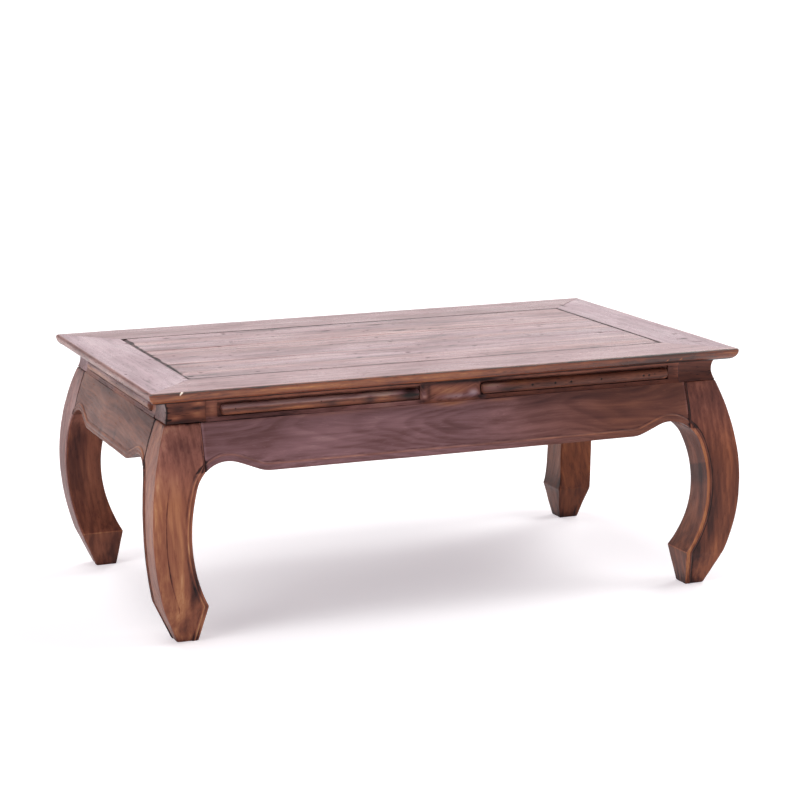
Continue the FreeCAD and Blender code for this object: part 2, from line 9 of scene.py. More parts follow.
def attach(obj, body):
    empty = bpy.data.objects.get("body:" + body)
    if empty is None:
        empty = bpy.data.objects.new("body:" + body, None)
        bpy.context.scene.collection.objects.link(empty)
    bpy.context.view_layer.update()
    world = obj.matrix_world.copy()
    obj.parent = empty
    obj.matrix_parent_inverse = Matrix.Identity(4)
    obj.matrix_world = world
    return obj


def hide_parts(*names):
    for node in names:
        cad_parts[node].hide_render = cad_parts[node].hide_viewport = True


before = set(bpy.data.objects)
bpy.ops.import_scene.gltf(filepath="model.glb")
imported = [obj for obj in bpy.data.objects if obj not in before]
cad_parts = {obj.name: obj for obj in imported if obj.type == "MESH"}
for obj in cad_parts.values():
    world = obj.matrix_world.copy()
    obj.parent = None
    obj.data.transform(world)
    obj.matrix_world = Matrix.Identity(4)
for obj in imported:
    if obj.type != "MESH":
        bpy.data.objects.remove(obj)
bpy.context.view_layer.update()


# Legs: each sawn to one curved outline in two directions from a block of old teak, with a reeded bead
# left standing along the inner edges. Stained red-brown and waxed. Brooms and shoes have rubbed the
# arrises and the bead bright and left the feet dark.
MM = 0.001
FOOT_X, FOOT_Y = 458.5, 278.5           # outer corner of a foot, from the middle of the table
SHOULDER = 348.0                        # top of legs and aprons
BELLY, BULGE_UP, BULGE_RADIUS = 43.5, 184.17, 441.77
HEEL_UP, HEEL_OUT = 58.0, 25.1
HEEL_INNER_UP, FOOT_WIDTH = 61.0, 35.0
INNER_OUT, INNER_UP, INNER_RADIUS = -262.36, 174.96, 244.36
ARCH_OUT, ARCH_UP, ARCH_RADIUS = -80.5, 234.5, 53.0
LEG_INSET = 44.5                        # inward, to the faces that the aprons butt against
LEG_ARRIS, LEG_INNER_ARRIS = 3.2, 2.4
LEG_FACE = 46.0                         # usual width of a face from arris to bead
LEG_STRIPS = (                          # lines down a face by distance from the arris
    2, 4, 6, 8, 10, 12, 14, 15.5, 16.6, 17.6, 19, 21, 23, 25, 27.5, 30, 32.5, 35, 37, 39, 41, 43, 44.6,
)
BEAD_WIDTH, BEAD_LEAST, BEAD_RELIEF = 11.0, 1.8, 1.5
BEAD_PROFILE = (                        # share of the width, share of the relief: a reed and a smaller one
    (0.0, -0.3), (0.06, -0.1), (0.12, 0.4), (0.2, 0.85), (0.3, 1.0), (0.42, 0.95), (0.52, 0.6),
    (0.58, 0.3), (0.64, 0.5), (0.72, 0.8), (0.82, 0.8), (0.92, 0.5), (1.0, 0.0),
)
STRAIGHTER = 9.0                        # the back right leg is hollowed less on its left than the others
HEEL_LOWER = 4.0                        # and its heel lies lower
SHARP = math.radians(50)                # edges bent more than this stay sharp
CORNERS = {                             # turn in degrees, and place
    "back_right": (0, FOOT_X, FOOT_Y),
    "back_left": (90, -FOOT_X, FOOT_Y),
    "front_left": (180, -FOOT_X, -FOOT_Y),
    "front_right": (270, FOOT_X, -FOOT_Y),
}


def linear(colour):
    """An sRGB hex colour as linear RGBA."""
    parts = [int(colour[i:i + 2], 16) / 255 for i in (1, 3, 5)]
    return [p / 12.92 if p <= 0.04045 else ((p + 0.055) / 1.055) ** 2.4 for p in parts] + [1.0]


def node(tree, kind, inputs=(), **settings):
    """One node, with its settings, and each input either linked or set."""
    made = tree.nodes.new(kind)
    for name, value in settings.items():
        setattr(made, name, value)
    for name, value in dict(inputs).items():
        if isinstance(value, bpy.types.NodeSocket):
            tree.links.new(value, made.inputs[name])
        else:
            made.inputs[name].default_value = value
    return made


def unit(value):
    """A value kept between nought and one."""
    return np.clip(value, 0, 1)


def bell(value):
    """One at nought, falling off softly on both sides."""
    return np.exp(-value ** 2)


def ripple(points, size, seed):
    """A smooth random field between -1 and 1 with bumps of a size in millimetres."""
    scaled = points / np.asarray(size, float) + seed * 17.37
    cell = np.floor(scaled).astype(np.int64)
    share = scaled - cell
    share = share * share * (3 - 2 * share)
    total = np.zeros(points.shape[:-1])
    for corner in np.ndindex(2, 2, 2):
        spot = cell + np.array(corner)          # large primes mix its three numbers and the seed into one
        key = spot[..., 0] * 73856093 ^ spot[..., 1] * 19349663 ^ spot[..., 2] * 83492791 ^ seed * 7919
        key = ((key ^ (key >> 13)) * 1274126177) & 0xFFFFFFFF
        value = ((key ^ (key >> 15)) & 0xFFFF) / 32767.5 - 1
        total += value * np.prod(np.where(corner, share, 1 - share), axis=-1)
    return total


def patches(first, second, places):
    """Soft spots on a face, each with a middle, two half-sizes and a strength."""
    total = np.zeros(first.shape)
    for middle, height, wide, tall, strength in places:
        total += strength * bell((first - middle) / wide) * bell((second - height) / tall)
    return total


def turned(points, degrees, x, y):
    """Points of a side's or corner's own frame in their place on the table."""
    turn = math.radians(degrees)
    across, out, up = points[..., 0], points[..., 1], points[..., 2]
    return np.stack([
        across * math.cos(turn) - out * math.sin(turn) + x,
        across * math.sin(turn) + out * math.cos(turn) + y,
        up,
    ], axis=-1)


def run_along(columns, stations, axis):
    """Rings of points at stations along an axis, then a table of each further value.

    A column is a point of the section and its values, each one number or one for every station.
    """
    table = np.array([[np.broadcast_to(v, stations.shape) for v in column] for column in columns])
    table = table.transpose(2, 0, 1)
    points = np.insert(table[..., :2], axis, np.broadcast_to(stations[:, None], table.shape[:2]), axis=-1)
    return points, *np.moveaxis(table[..., 2:], -1, 0)


def bent(centre, radius, degrees, *values):
    """Columns of a section round part of an arris."""
    return [
        (centre + radius * math.cos(angle), centre + radius * math.sin(angle), *values)
        for angle in np.radians(degrees)
    ]


def mirrored(columns):
    """A whole section, from the half of it on one side of its corner."""
    return columns + [(y, x, *values) for x, y, *values in columns[-2:0:-1]]


def skin(name, rings):
    """A piece with a closed mesh over equal rings of points in millimetres, and flat ends."""
    count, around = rings.shape[:2]
    index = np.arange(count * around).reshape(count, around)
    low, high = index[:-1], index[1:]
    quads = np.stack([low, np.roll(low, -1, 1), np.roll(high, -1, 1), high], axis=-1).reshape(-1, 4)
    mesh = bpy.data.meshes.new(name)
    ends = [index[0].tolist(), index[-1].tolist()]
    mesh.from_pydata((rings.reshape(-1, 3) * MM).tolist(), [], quads.tolist() + ends)
    shell = bmesh.new()
    shell.from_mesh(mesh)
    bmesh.ops.recalc_face_normals(shell, faces=shell.faces)
    shell.to_mesh(mesh)
    shell.free()
    piece = bpy.data.objects.new(name, mesh)
    bpy.context.scene.collection.objects.link(piece)
    return piece


def corners_of(piece):
    """Where the points of a piece are, in its own units."""
    places = np.empty(len(piece.data.vertices) * 3)
    piece.data.vertices.foreach_get("co", places)
    return places.reshape(-1, 3)


def facings(piece):
    """The direction that each point of a piece faces."""
    normals = np.empty(len(piece.data.vertices) * 3)
    piece.data.vertex_normals.foreach_get("vector", normals)
    return normals.reshape(-1, 3)


def wear_down(piece, depth):
    """Lower the surface by a depth in millimetres at each point, as planing and use do."""
    places = corners_of(piece) - facings(piece) * np.maximum(depth, 0).reshape(-1, 1) * MM
    piece.data.vertices.foreach_set("co", places.ravel())
    piece.data.update()


def mark(piece, grain, **shares):
    """Where each point lies in its plank, in millimetres along and across, and how it is worn and soiled,
    with its painted shade and sheen.

    Like pieces lie far apart along the grain, so that no two of them show the same streaks.
    """
    layer = piece.data.attributes.new("grain", "FLOAT_VECTOR", "POINT")
    layer.data.foreach_set("vector", grain.astype(np.float32).ravel())
    for name, values in shares.items():
        layer = piece.data.attributes.new(name, "FLOAT", "POINT")
        layer.data.foreach_set("value", (np.zeros(grain.shape[:-1]) + values).astype(np.float32).ravel())


def dress(piece, material):
    """Give a piece its finish and smooth faces between sharp edges."""
    mesh = piece.data
    if not mesh.materials:
        mesh.materials.append(material)
    mesh.shade_smooth()
    mesh.set_sharp_from_angle(angle=SHARP)


# Teak from bare and lightly stained to sooty, and the same under old, bloomed wax, partly a painted
# reflection.
TEAK = ("#d3a173", "#b5754e", "#93563d", "#6c3c2e", "#472722", "#231413")
BLOOM_AND_SHEEN = ("#c3a4a7", "#a98890", "#8b6972", "#6a4a4e", "#452e31", "#221618")


def waxed_wood(
    name, colours, figure, streaks, cloud, ring, sway, roughness,
    fibre=0.4, pores=0.16, gloss=0.22, checks=0.0,
):
    """Old stained timber under wax.

    It gives the eye streaks of one stain that lies thin on hard wood and deep in soft, faint rings,
    dark pores, cloudy patches where it was wiped, bare paler arrises, soot and painted shade in the
    corners and recesses, and a mauve bloom where the wax was never rubbed off, which also paints
    the reflection of the white surroundings.
    """
    material = bpy.data.materials.new(name)
    material.use_nodes = True
    tree = material.node_tree
    tree.nodes.clear()
    grain = node(tree, "ShaderNodeAttribute", attribute_name="grain").outputs["Vector"]
    tone, wear, soil, haze = (
        node(tree, "ShaderNodeAttribute", attribute_name=word).outputs["Fac"]
        for word in ("tone", "wear", "soil", "haze")
    )
    patterns = {                        # millimetres along the grain and across it, and detail
        "sway": (260, 80, 1.5),
        "streak": (420, 12, 2.0),
        "fibre": (150, 3.0, 3.0),       # true fibres are finer; drawn as coarse as the picture can show
        "pore": (12, 1.6, 0.5),
        "cloud": (150, 55, 3.0),
        "fray": (26, 8, 3.0),
        "check": (420, 16, 1.0),
    }
    fields, lie = {}, grain
    for word, (length, width, detail) in patterns.items():
        place = node(tree, "ShaderNodeMapping", {
            "Vector": lie,
            "Scale": (1 / length, 1 / width, 1 / width),
            "Location": (0.37 * len(fields), 1.7 * len(fields), 0.0),
        })
        noise = node(tree, "ShaderNodeTexNoise", {
            "Vector": place.outputs["Vector"], "Scale": 1.0, "Detail": detail, "Roughness": 0.55,
        })
        fields[word] = noise.outputs[0]
        if word == "sway":              # the patterns after it lie along the swaying grain
            drift = node(tree, "ShaderNodeVectorMath", {
                0: noise.outputs["Color"], 1: (0.5, 0.5, 0.5),
            }, operation="SUBTRACT")
            lie = node(tree, "ShaderNodeVectorMath", {
                0: drift.outputs["Vector"], 1: (0.0, sway, sway), 2: grain,
            }, operation="MULTIPLY_ADD").outputs["Vector"]
    flat = node(tree, "ShaderNodeVectorMath", {0: lie, 1: (0.012, 1 / ring, 1 / ring)}, operation="MULTIPLY")
    split = node(tree, "ShaderNodeSeparateXYZ", {"Vector": flat.outputs["Vector"]})
    across = node(tree, "ShaderNodeCombineXYZ", {"Y": split.outputs["Y"], "Z": split.outputs["Z"]})
    radius = node(tree, "ShaderNodeVectorMath", {0: across.outputs["Vector"]}, operation="LENGTH")
    age = node(tree, "ShaderNodeMath", {0: radius.outputs["Value"], 1: split.outputs["X"]}, operation="ADD")
    year = node(tree, "ShaderNodeMath", {0: age.outputs["Value"]}, operation="FRACT").outputs["Value"]
    off = node(tree, "ShaderNodeMath", {0: fields["check"], 1: 0.5}, operation="SUBTRACT")
    thin = node(tree, "ShaderNodeMath", {0: off.outputs["Value"]}, operation="ABSOLUTE").outputs["Value"]
    frayed = [
        node(tree, "ShaderNodeMath", {0: fields["fray"], 1: 0.9, 2: share}, operation="MULTIPLY_ADD")
        for share in (wear, soil)
    ]
    fades = {}                          # a value's place between two limits, as one between two others
    for word, value, start, end, low, high, curve in (
        ("rise", year, 0.1, 0.75, 0, 1, "SMOOTHSTEP"),
        ("drop", year, 0.76, 1, 1, 0, "SMOOTHSTEP"),
        ("pore", fields["pore"], 0.62, 0.76, 0, 1, "SMOOTHSTEP"),
        ("check", thin, 0, 0.012, checks, 0, "LINEAR"),
        ("checked", fields["cloud"], 0.47, 0.6, 0, 1, "SMOOTHSTEP"),
        ("worn", frayed[0].outputs["Value"], 0.6, 1.3, 0, 1, "SMOOTHSTEP"),
        ("darkened", frayed[1].outputs["Value"], 0.6, 1.3, 0, 1, "SMOOTHSTEP"),
        ("dull", fields["cloud"], 0.3, 0.7, roughness - 0.05, roughness + 0.07, "LINEAR"),
    ):
        fades[word] = node(tree, "ShaderNodeMapRange", {
            "Value": value, "From Min": start, "From Max": end, "To Min": low, "To Max": high,
        }, interpolation_type=curve).outputs["Result"]
    late, crack = (
        node(tree, "ShaderNodeMath", {0: fades[one], 1: fades[other]}, operation="MULTIPLY").outputs["Value"]
        for one, other in (("rise", "drop"), ("check", "checked"))
    )
    pore, darkened = fades["pore"], fades["darkened"]
    middle = 0.35 * figure + 0.5 * (streaks + fibre + cloud)
    evened = node(tree, "ShaderNodeMath", {0: tone, 1: middle}, operation="SUBTRACT").outputs["Value"]
    heaps = []                          # how dark, how dull and how high: layers laid on a first value
    for total, layers in (
        (evened, (
            (late, figure), (fields["streak"], streaks), (fields["fibre"], fibre), (fields["cloud"], cloud),
            (pore, pores), (fades["worn"], -0.34), (darkened, 0.5), (crack, 0.4),
        )),
        (fades["dull"], ((darkened, 0.25), (pore, 0.15))),
        (fields["fibre"], ((late, 0.25), (pore, -0.8), (crack, -1.5))),
    ):
        for value, weight in layers:
            total = node(tree, "ShaderNodeMath", {
                0: value, 1: weight, 2: total,
            }, operation="MULTIPLY_ADD").outputs["Value"]
        heaps.append(total)
    density, dullness, height = heaps
    stains = [haze]                     # the share of bloom and painted sheen, then the plain and the bloomed stain
    for row in (colours, BLOOM_AND_SHEEN):
        ramp = node(tree, "ShaderNodeValToRGB", {"Fac": density})
        stops = ramp.color_ramp.elements
        while len(stops) < len(row):
            stops.new(0.5)
        for number, colour in enumerate(row):
            stops[number].position = number / (len(row) - 1)
            stops[number].color = linear(colour)
        stains.append(ramp.outputs["Color"])
    stain = node(tree, "ShaderNodeMix", dict(zip((0, 6, 7), stains)), data_type="RGBA").outputs[2]
    bump = node(tree, "ShaderNodeBump", {"Height": height, "Strength": 0.35, "Distance": 0.45 * MM})
    if isinstance(gloss, str):          # rubbed to a shine in some places only
        gloss = node(tree, "ShaderNodeAttribute", attribute_name=gloss).outputs["Fac"]
    shader = node(tree, "ShaderNodeBsdfPrincipled", {
        "Base Color": stain, "Roughness": dullness, "Normal": bump.outputs["Normal"], "IOR": 1.5,
        "Specular IOR Level": gloss,
    })
    node(tree, "ShaderNodeOutputMaterial", {"Surface": shader.outputs["BSDF"]})
    return material


def leg_outer(up):
    """Out position of a leg's outer faces."""
    bulging = BELLY - BULGE_RADIUS + np.sqrt(BULGE_RADIUS ** 2 - (up - BULGE_UP) ** 2)
    return np.where(up > HEEL_UP, bulging, HEEL_OUT * up / HEEL_UP)


def leg_inner(up, margin):
    """Out position of a leg's inner edge, or of a line at a margin inside the wood."""
    def hollow(height):
        return INNER_OUT + np.sqrt((INNER_RADIUS + margin) ** 2 - (height - INNER_UP) ** 2)

    arch = ARCH_OUT + np.sqrt(np.maximum((ARCH_RADIUS + margin) ** 2 - (up - ARCH_UP) ** 2, 0))
    run_on = INNER_UP + (ARCH_UP - INNER_UP) * (INNER_RADIUS + margin) / (INNER_RADIUS - ARCH_RADIUS)
    sole = margin - FOOT_WIDTH
    foot = sole + (hollow(HEEL_INNER_UP) - sole) * up / HEEL_INNER_UP
    edge = np.where(up > run_on, np.maximum(arch, -LEG_INSET), hollow(np.minimum(up, SHOULDER)))
    return np.where(up < HEEL_INNER_UP, foot, edge)


def eased(curve, up, *extra):
    """A curve with its corners rounded by a few strokes of a file."""
    return sum(curve(up + shift, *extra) for shift in (-1.2, -0.4, 0.4, 1.2)) / 4


def soft_end(distance, reach, depth):
    """Rounding of an edge: how much is gone at a distance from it."""
    return depth * unit(1 - distance / reach) ** 2


def bead_soil(share):
    """Soot held by the groove beside the reed, and a little by the one between the reeds."""
    return 0.5 * bell(share / 0.07) + 0.25 * bell((share - 0.58) / 0.05)


def leg_rings():
    """Rings of a leg, with wear, soil, the share of the bead and the strip from the arris at each point."""
    up = np.unique(np.concatenate([
        [0, 0.5, 1.2, 2.4], np.arange(4.5, 345, 2.6), np.arange(54, 66, 0.8), [346, 347.2, SHOULDER],
    ]))
    gone = soft_end(up, 1.6, 0.8) + soft_end(SHOULDER - up, 2.0, 1.0)
    outer = eased(leg_outer, up) - gone
    inner = eased(leg_inner, up, 0.0) + gone
    edge = np.maximum(eased(leg_inner, up, BEAD_WIDTH) + gone, inner + BEAD_LEAST)
    relief = BEAD_RELIEF * unit((edge - inner - BEAD_LEAST) / 5)
    joint = 0.5 * (inner < 0.2 - LEG_INSET) * (up > 250)
    bend = outer - LEG_ARRIS
    columns = bent(bend, LEG_ARRIS, (45, 60, 75, 90), 0.2, 0.1, -1, 0)
    width = bend - edge
    for strip in LEG_STRIPS:
        away = width * strip / LEG_FACE
        rubbed, darkened = 0.25 * np.exp(-away / 6), 0.3 * np.exp((away - width) / 3)
        columns.append((bend - away, outer, rubbed, darkened, -1, strip))
    for share, height in BEAD_PROFILE:
        rubbed = 0.62 * max(height, 0) ** 2 * relief / BEAD_RELIEF
        across, out = edge + share * (inner - edge), outer + relief * height
        columns.append((across, out, rubbed, bead_soil(share) + joint, share, -1))
    near, far = outer - 1.2, inner + LEG_INNER_ARRIS
    crease = 0.6 * bell((up - HEEL_INNER_UP) / 1.6)
    for share in np.linspace(0, 1, 18):
        rubbed = crease + 0.5 * (share == 0) * (up < 286)
        columns.append((inner, near + share * (far - near), rubbed, 0.1, -1, -1))
    columns += bent(far, LEG_INNER_ARRIS, (202.5, 225), 0.4, 0.1, -1, -1)
    points, wear, soil, bead, strip = run_along(mirrored(columns), up, 2)
    low, high = unit(1 - points[..., 2] / 30), unit(1 - (SHOULDER - points[..., 2]) / 6)
    return points, wear, soil + 0.45 * low + 0.45 * high, bead, strip


leg_wood = waxed_wood(
    "waxed red-brown teak of the legs", TEAK,
    figure=0.06, streaks=0.5, cloud=0.5, ring=10.0, sway=26.0, roughness=0.38,
    fibre=0.22, pores=0.07, gloss=0.16,
)
# Where the heart of the tree lay beside each leg, in millimetres, and how dark its stain is.
LEG_PLANKS = {
    "back_right": ((90, 35), 0.53), "back_left": ((-30, 95), 0.53),
    "front_left": ((70, 20), 0.385), "front_right": ((25, -80), 0.57),
}
# Stains on the front faces: x, height, two half-sizes and strength, which is below nought for a rubbed
# place. The other lists of stains are in the same terms.
LEG_STAINS = (
    (-450, 320, 30, 45, 0.25), (460, 320, 30, 50, 0.03), (-436, 95, 10, 40, 0.42), (-447, 25, 12, 16, 0.2),
    (452, 120, 9, 50, 0.28), (432, 60, 8, 30, 0.3), (446, 225, 10, 25, 0.1), (-458, 90, 9, 60, -0.28),
    (-462, 210, 14, 70, -0.15), (478, 190, 14, 70, -0.08), (470, 60, 14, 30, -0.08),
    (-450, 338, 32, 16, -0.2),
)
# The same on the inner face of the back left leg.
BACK_LEG_STAINS = (
    (-486, 228, 14, 40, 0.2), (-490, 140, 6, 50, 0.12), (-428, 25, 8, 30, 0.22), (-462, 150, 14, 50, -0.08),
    (-455, 72, 30, 10, 0.06),
)
for number, (corner, place) in enumerate(CORNERS.items()):
    points, wear, soil, bead, strip = leg_rings()
    up = points[..., 2]
    if corner == "back_right":
        inward = unit((leg_outer(up) - points[..., 0]) / 70)
        points[..., 0] += STRAIGHTER * (inward * bell((up - 62) / 45) + 0.5 * unit(1 - up / 60))
        points[..., 2] -= HEEL_LOWER * bell((up - HEEL_INNER_UP) / 24) * unit(up / 20)
    settled = turned(points, *place)
    x = settled[..., 0]
    leg = skin(f"carved_leg_{corner}", settled)
    uneven = 0.3 * ripple(points, (45, 45, 70), number) + 0.2 * ripple(points, (9, 9, 16), number + 9)
    wear_down(leg, 0.35 + uneven)
    faces = facings(leg).reshape(points.shape)
    leftward, forward = unit(-faces[..., 0]), unit(-faces[..., 1])
    heart, tone = LEG_PLANKS[corner]
    # Left faces are bloomed and their stain made a little darker: a painted reflection of the white
    # surroundings.
    tone = tone + 0.035 * leftward + (settled[..., 1] < -FOOT_Y - 5) * patches(x, up, LEG_STAINS)
    haze = 0.05 * leftward + 0.25 * forward * unit((up - 230) / 80)
    if corner == "front_left":          # a long check down the front, and soot along the left face
        check = unit((280 - up) / 50) * unit((up - 20) / 60) * (0.85 + 0.2 * ripple(points, (60, 60, 22), 12))
        soil = soil + forward * 0.64 * check * ((strip > 16) & (strip < 18))
        soil = soil + leftward * (0.6 * (bead >= 0) + 0.3 * bell((strip - 6) / 4) * (strip > 0))
        soil = soil - forward * np.where(up > 300, 0.5, 0.2 * (bead < 0.15)) * (bead >= 0)
        wear = wear + forward * 0.2 * ((strip >= 0) & (strip < 15.8)) - leftward * (bead >= 0)
        tone, haze = tone + 0.03 * leftward, haze + 0.08 * forward
    elif corner == "front_right":       # only the inner reed is bright, and a dark band crosses the inside
        edge = forward * (up < 282)
        wear = wear + edge * (0.8 * (bead > 0.45) - 0.6 * ((bead >= 0) & (bead < 0.45)))
        soil = soil + edge * 0.2 * ((bead >= 0) & (bead < 0.3)) - 0.4 * unit(1 - (SHOULDER - up) / 6)
        above = up - 202 - 0.25 * (points[..., 0] + 20)
        band = 0.2 * unit(-above / 2) * unit((above + 42) / 18)
        tone = tone + leftward * (band - 0.06 * unit((150 - up) / 30))
    elif corner == "back_right":        # paler above, smoky over the heel
        tone = tone - (0.07 + 0.06 * leftward) * unit((up - 80) / 25) + leftward * 0.2 * bell((up - 64) / 13)
        wear = 0.5 * wear
    else:                               # bloomed, with more painted reflection on the left face, and stained inside
        tone = tone + forward * patches(x, up, BACK_LEG_STAINS) - 0.05 * leftward
        haze = haze + 0.1 + 0.3 * leftward
    grain = points[..., (2, 0, 1)] + (900 * number, -heart[0], -heart[1])
    mark(leg, grain, tone=tone, wear=wear, soil=soil, haze=haze)
    dress(leg, leg_wood)
    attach(leg, "root")
    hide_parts(f"leg_{corner}")


# Aprons: boards sawn to a cusped lower edge that runs on into the legs, bent out like them in
# section, with the legs' bead carried along the edge. Tenoned into the legs, so a fine dark joint
# line shows at each end. Cathedral grain, purplish brown on the long sides.
APRON_LOW, APRON_THICKNESS = 268.5, 24.0
APRON_BEAD = 13.5                       # broader than on the legs
CUSP_RADIUS, RAMP_ANGLE = 55.0, math.radians(21)
JOINT_GAP, APRON_DROP = 0.35, 0.1       # left free at the ends and under the waist
SIDES = {                               # turn in degrees, place, and half the span between the feet's corners
    "back": (0, 0.0, FOOT_Y, FOOT_X),
    "left": (90, -FOOT_X, 0.0, FOOT_Y),
    "front": (180, 0.0, -FOOT_Y, FOOT_X),
    "right": (270, FOOT_X, 0.0, FOOT_Y),
}
SEAMS = {                               # by x or by y, how far the joint under the waist has opened
    "front": (0, (-400, -320, -240, -210, -38, 45, 60, 150, 300), (0.4, 0.35, 0.2, 0.05, 0, 0, 0.4, 0.1, 0)),
    "left": (1, (-215, -120, -95, 20, 45, 125, 150), (0.5, 0.5, 0.05, 0.05, 0.5, 0.5, 0.15)),
}


def seam_open(side, settled):
    """How far the joint between apron and waist has opened, from tight to gaping."""
    axis, places, open_by = SEAMS.get(side, (0, (0,), (0.45,)))
    return np.interp(settled[..., axis], places, open_by)


def apron_edge(along, half_span, margin):
    """Height of the lower edge, or of a line at a margin inside the wood."""
    sine, cosine = math.sin(RAMP_ANGLE), math.cos(RAMP_ANGLE)
    arch_x = half_span + ARCH_OUT
    cusp_up = APRON_LOW + CUSP_RADIUS
    bend = ARCH_RADIUS + CUSP_RADIUS
    cusp_x = arch_x - bend * sine - (ARCH_UP - cusp_up + bend * cosine) * cosine / sine
    arch, cusp = ARCH_RADIUS + margin, CUSP_RADIUS - margin
    ramp_x, crest_x = cusp_x + cusp * sine, arch_x - arch * sine
    x = np.abs(along)
    turn_up = cusp_up - np.sqrt(np.maximum(cusp ** 2 - (x - cusp_x) ** 2, 0))
    ramp = cusp_up - cusp * cosine + (x - ramp_x) * sine / cosine
    crown = ARCH_UP + np.sqrt(np.maximum(arch ** 2 - (x - arch_x) ** 2, 0))
    edge = np.where(x < cusp_x, APRON_LOW + margin, np.where(x < ramp_x, turn_up, ramp))
    return np.where(x < crest_x, edge, crown)


def apron_rings(half_span):
    """Rings of an apron from joint to joint, with wear and soil at each point."""
    joint = half_span - LEG_INSET - JOINT_GAP
    fine = np.arange(joint - 120, joint - 2, 1.6)
    tips = joint - np.array([0, 0.5, 1.2])
    along = np.unique(np.concatenate([np.arange(-joint + 120, joint - 120, 3.0), fine, -fine, tips, -tips]))
    end = joint - np.abs(along)
    gone = soft_end(end, 1.4, 0.9)
    low = eased(apron_edge, along, half_span, 0.0)
    line = eased(apron_edge, along, half_span, BEAD_WIDTH) + (APRON_BEAD - BEAD_WIDTH) * unit(end / 25)
    at_joint = 0.95 * np.exp(-end / 3)
    rough = ripple(np.stack([along, along * 0, along * 0], axis=-1), (45, 1, 1), int(half_span))
    columns = []
    for share in np.linspace(0, 1, 26)[:-1]:
        up = SHOULDER - APRON_DROP + share * (line - SHOULDER + APRON_DROP)
        columns.append((leg_outer(up) - gone, up, 0.2 * np.exp((up - SHOULDER) / 3), at_joint))
    for share, height in BEAD_PROFILE:
        up = line + share * (low - line)
        out = leg_outer(up) - gone + BEAD_RELIEF * height
        rubbed = 0.75 * bell((share - 0.19) / 0.1) + 0.4 * bell((share - 0.95) / 0.1)
        columns.append((out, up, rubbed * (0.65 + 0.5 * rough), at_joint + 0.7 * bead_soil(share)))
    at_low, at_top = leg_outer(np.array([APRON_LOW, SHOULDER]))
    lean = (at_top - at_low) / (SHOULDER - APRON_LOW)
    back = at_low - APRON_THICKNESS + (low - APRON_LOW) * lean
    for share in (0.06, 0.35, 0.65, 0.94):
        columns.append((leg_outer(low) * (1 - share) + back * share, low, 0.1, 0.2))
    for share in np.linspace(0, 1, 9):
        up = low + share * (SHOULDER - low)
        columns.append((back + (up - low) * lean, up, 0.1, 0.25))
    for share in (0.3, 0.6, 0.9):
        columns.append((back + (SHOULDER - low) * lean + share * APRON_THICKNESS, SHOULDER, 0.0, 0.4))
    return run_along(columns, along, 0)


apron_wood = waxed_wood(
    "waxed purple-brown teak of the aprons",
    ("#c58a5e", "#9f6548", "#82503f", "#643c33", "#442725", "#211415"),
    figure=0.07, streaks=0.42, cloud=0.5, ring=7.0, sway=60.0, roughness=0.4,
    fibre=0.18, pores=-0.06, gloss=0.15,
)
APRON_PLANKS = {                        # the tree's heart, how dark the stain is, and how bloomed the wax, partly a painted reflection
    "back": ((60, 30), 0.5, 0.5), "left": ((-40, 60), 0.52, 0.0),
    "front": ((75, 25), 0.505, 0.75), "right": ((50, -30), 0.5, 0.5),
}
APRON_STAINS = {
    "front": (
        (-300, 320, 90, 40, -0.03), (300, 335, 120, 20, 0.08), (390, 315, 30, 40, 0.06),
        (-60, 310, 110, 40, 0.02), (-230, 300, 60, 18, -0.06), (60, 340, 60, 8, -0.08),
        (260, 310, 170, 60, 0.035), (215, 345, 70, 14, 0.17), (300, 345, 50, 14, 0.1),
        (135, 345, 35, 12, 0.1), (-85, 335, 45, 18, -0.11),
    ),
    "left": (
        (46, 278, 9, 12, 0.16), (-43, 288, 6, 12, 0.16), (-101, 323, 12, 7, 0.1), (-205, 336, 25, 10, 0.1),
        (80, 346, 45, 9, 0.16), (-160, 346, 40, 9, 0.12), (-30, 325, 40, 8, 0.06), (120, 300, 30, 20, 0.05),
    ),
}
# Where the front apron's upper edge was rubbed bare together with the waist.
APRON_RUBS = ((0, 346, 34, 5, 0.3), (85, 345, 28, 3, 0.2), (-200, 345, 60, 2, 0.12))
for number, (side, (degrees, x, y, half_span)) in enumerate(SIDES.items()):
    points, wear, soil = apron_rings(half_span)
    heart, tone, haze = APRON_PLANKS[side]
    settled = turned(points, degrees, x, y)
    apron = skin(f"cusped_apron_{side}", settled)
    uneven = 0.35 * ripple(points, (90, 30, 40), number + 20) + 0.2 * ripple(points, (22, 9, 9), number + 29)
    x, y, up = settled[..., 0], settled[..., 1], points[..., 2]
    below, seam = SHOULDER - up, seam_open(side, settled)
    wear_down(apron, (0.4 + uneven) * np.clip(below / 3, seam, 1) + seam * soft_end(below, 1.5, 1.4))
    soil = soil + 0.4 * seam * np.exp(-below / 7)
    if side == "front":                 # a pale lip beside each joint, a painted highlight, and bare places along the top
        rubbed = patches(x, up, APRON_RUBS)
        end = np.abs(x) - half_span + LEG_INSET + 2.0
        lip_highlight = bell(end / 1.8) * unit((up - 290) / 12) * np.where(x < 0, 1.0, 0.45)
        tone = tone + patches(x, up, APRON_STAINS[side]) - rubbed - 0.12 * lip_highlight
        soil = soil - 1.5 * lip_highlight
        haze = (haze - 0.7 * unit((x - 20) / 260)) * (1 - unit(3 * rubbed))
    elif side == "left":
        tone = tone + patches(y, up, APRON_STAINS[side])
        soil = soil * np.where(y > 200, 0.5, 1)
    haze = haze * (1 - 0.6 * unit(wear / 0.3))
    if side == "front":
        haze = np.maximum(haze, 0.7 * lip_highlight)
    grain = points + (1300 * number, -heart[0], -310 - heart[1])
    mark(apron, grain, tone=tone, wear=wear, soil=soil, haze=haze)
    dress(apron, apron_wood)
    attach(apron, "root")
    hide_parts(f"apron_{side}")


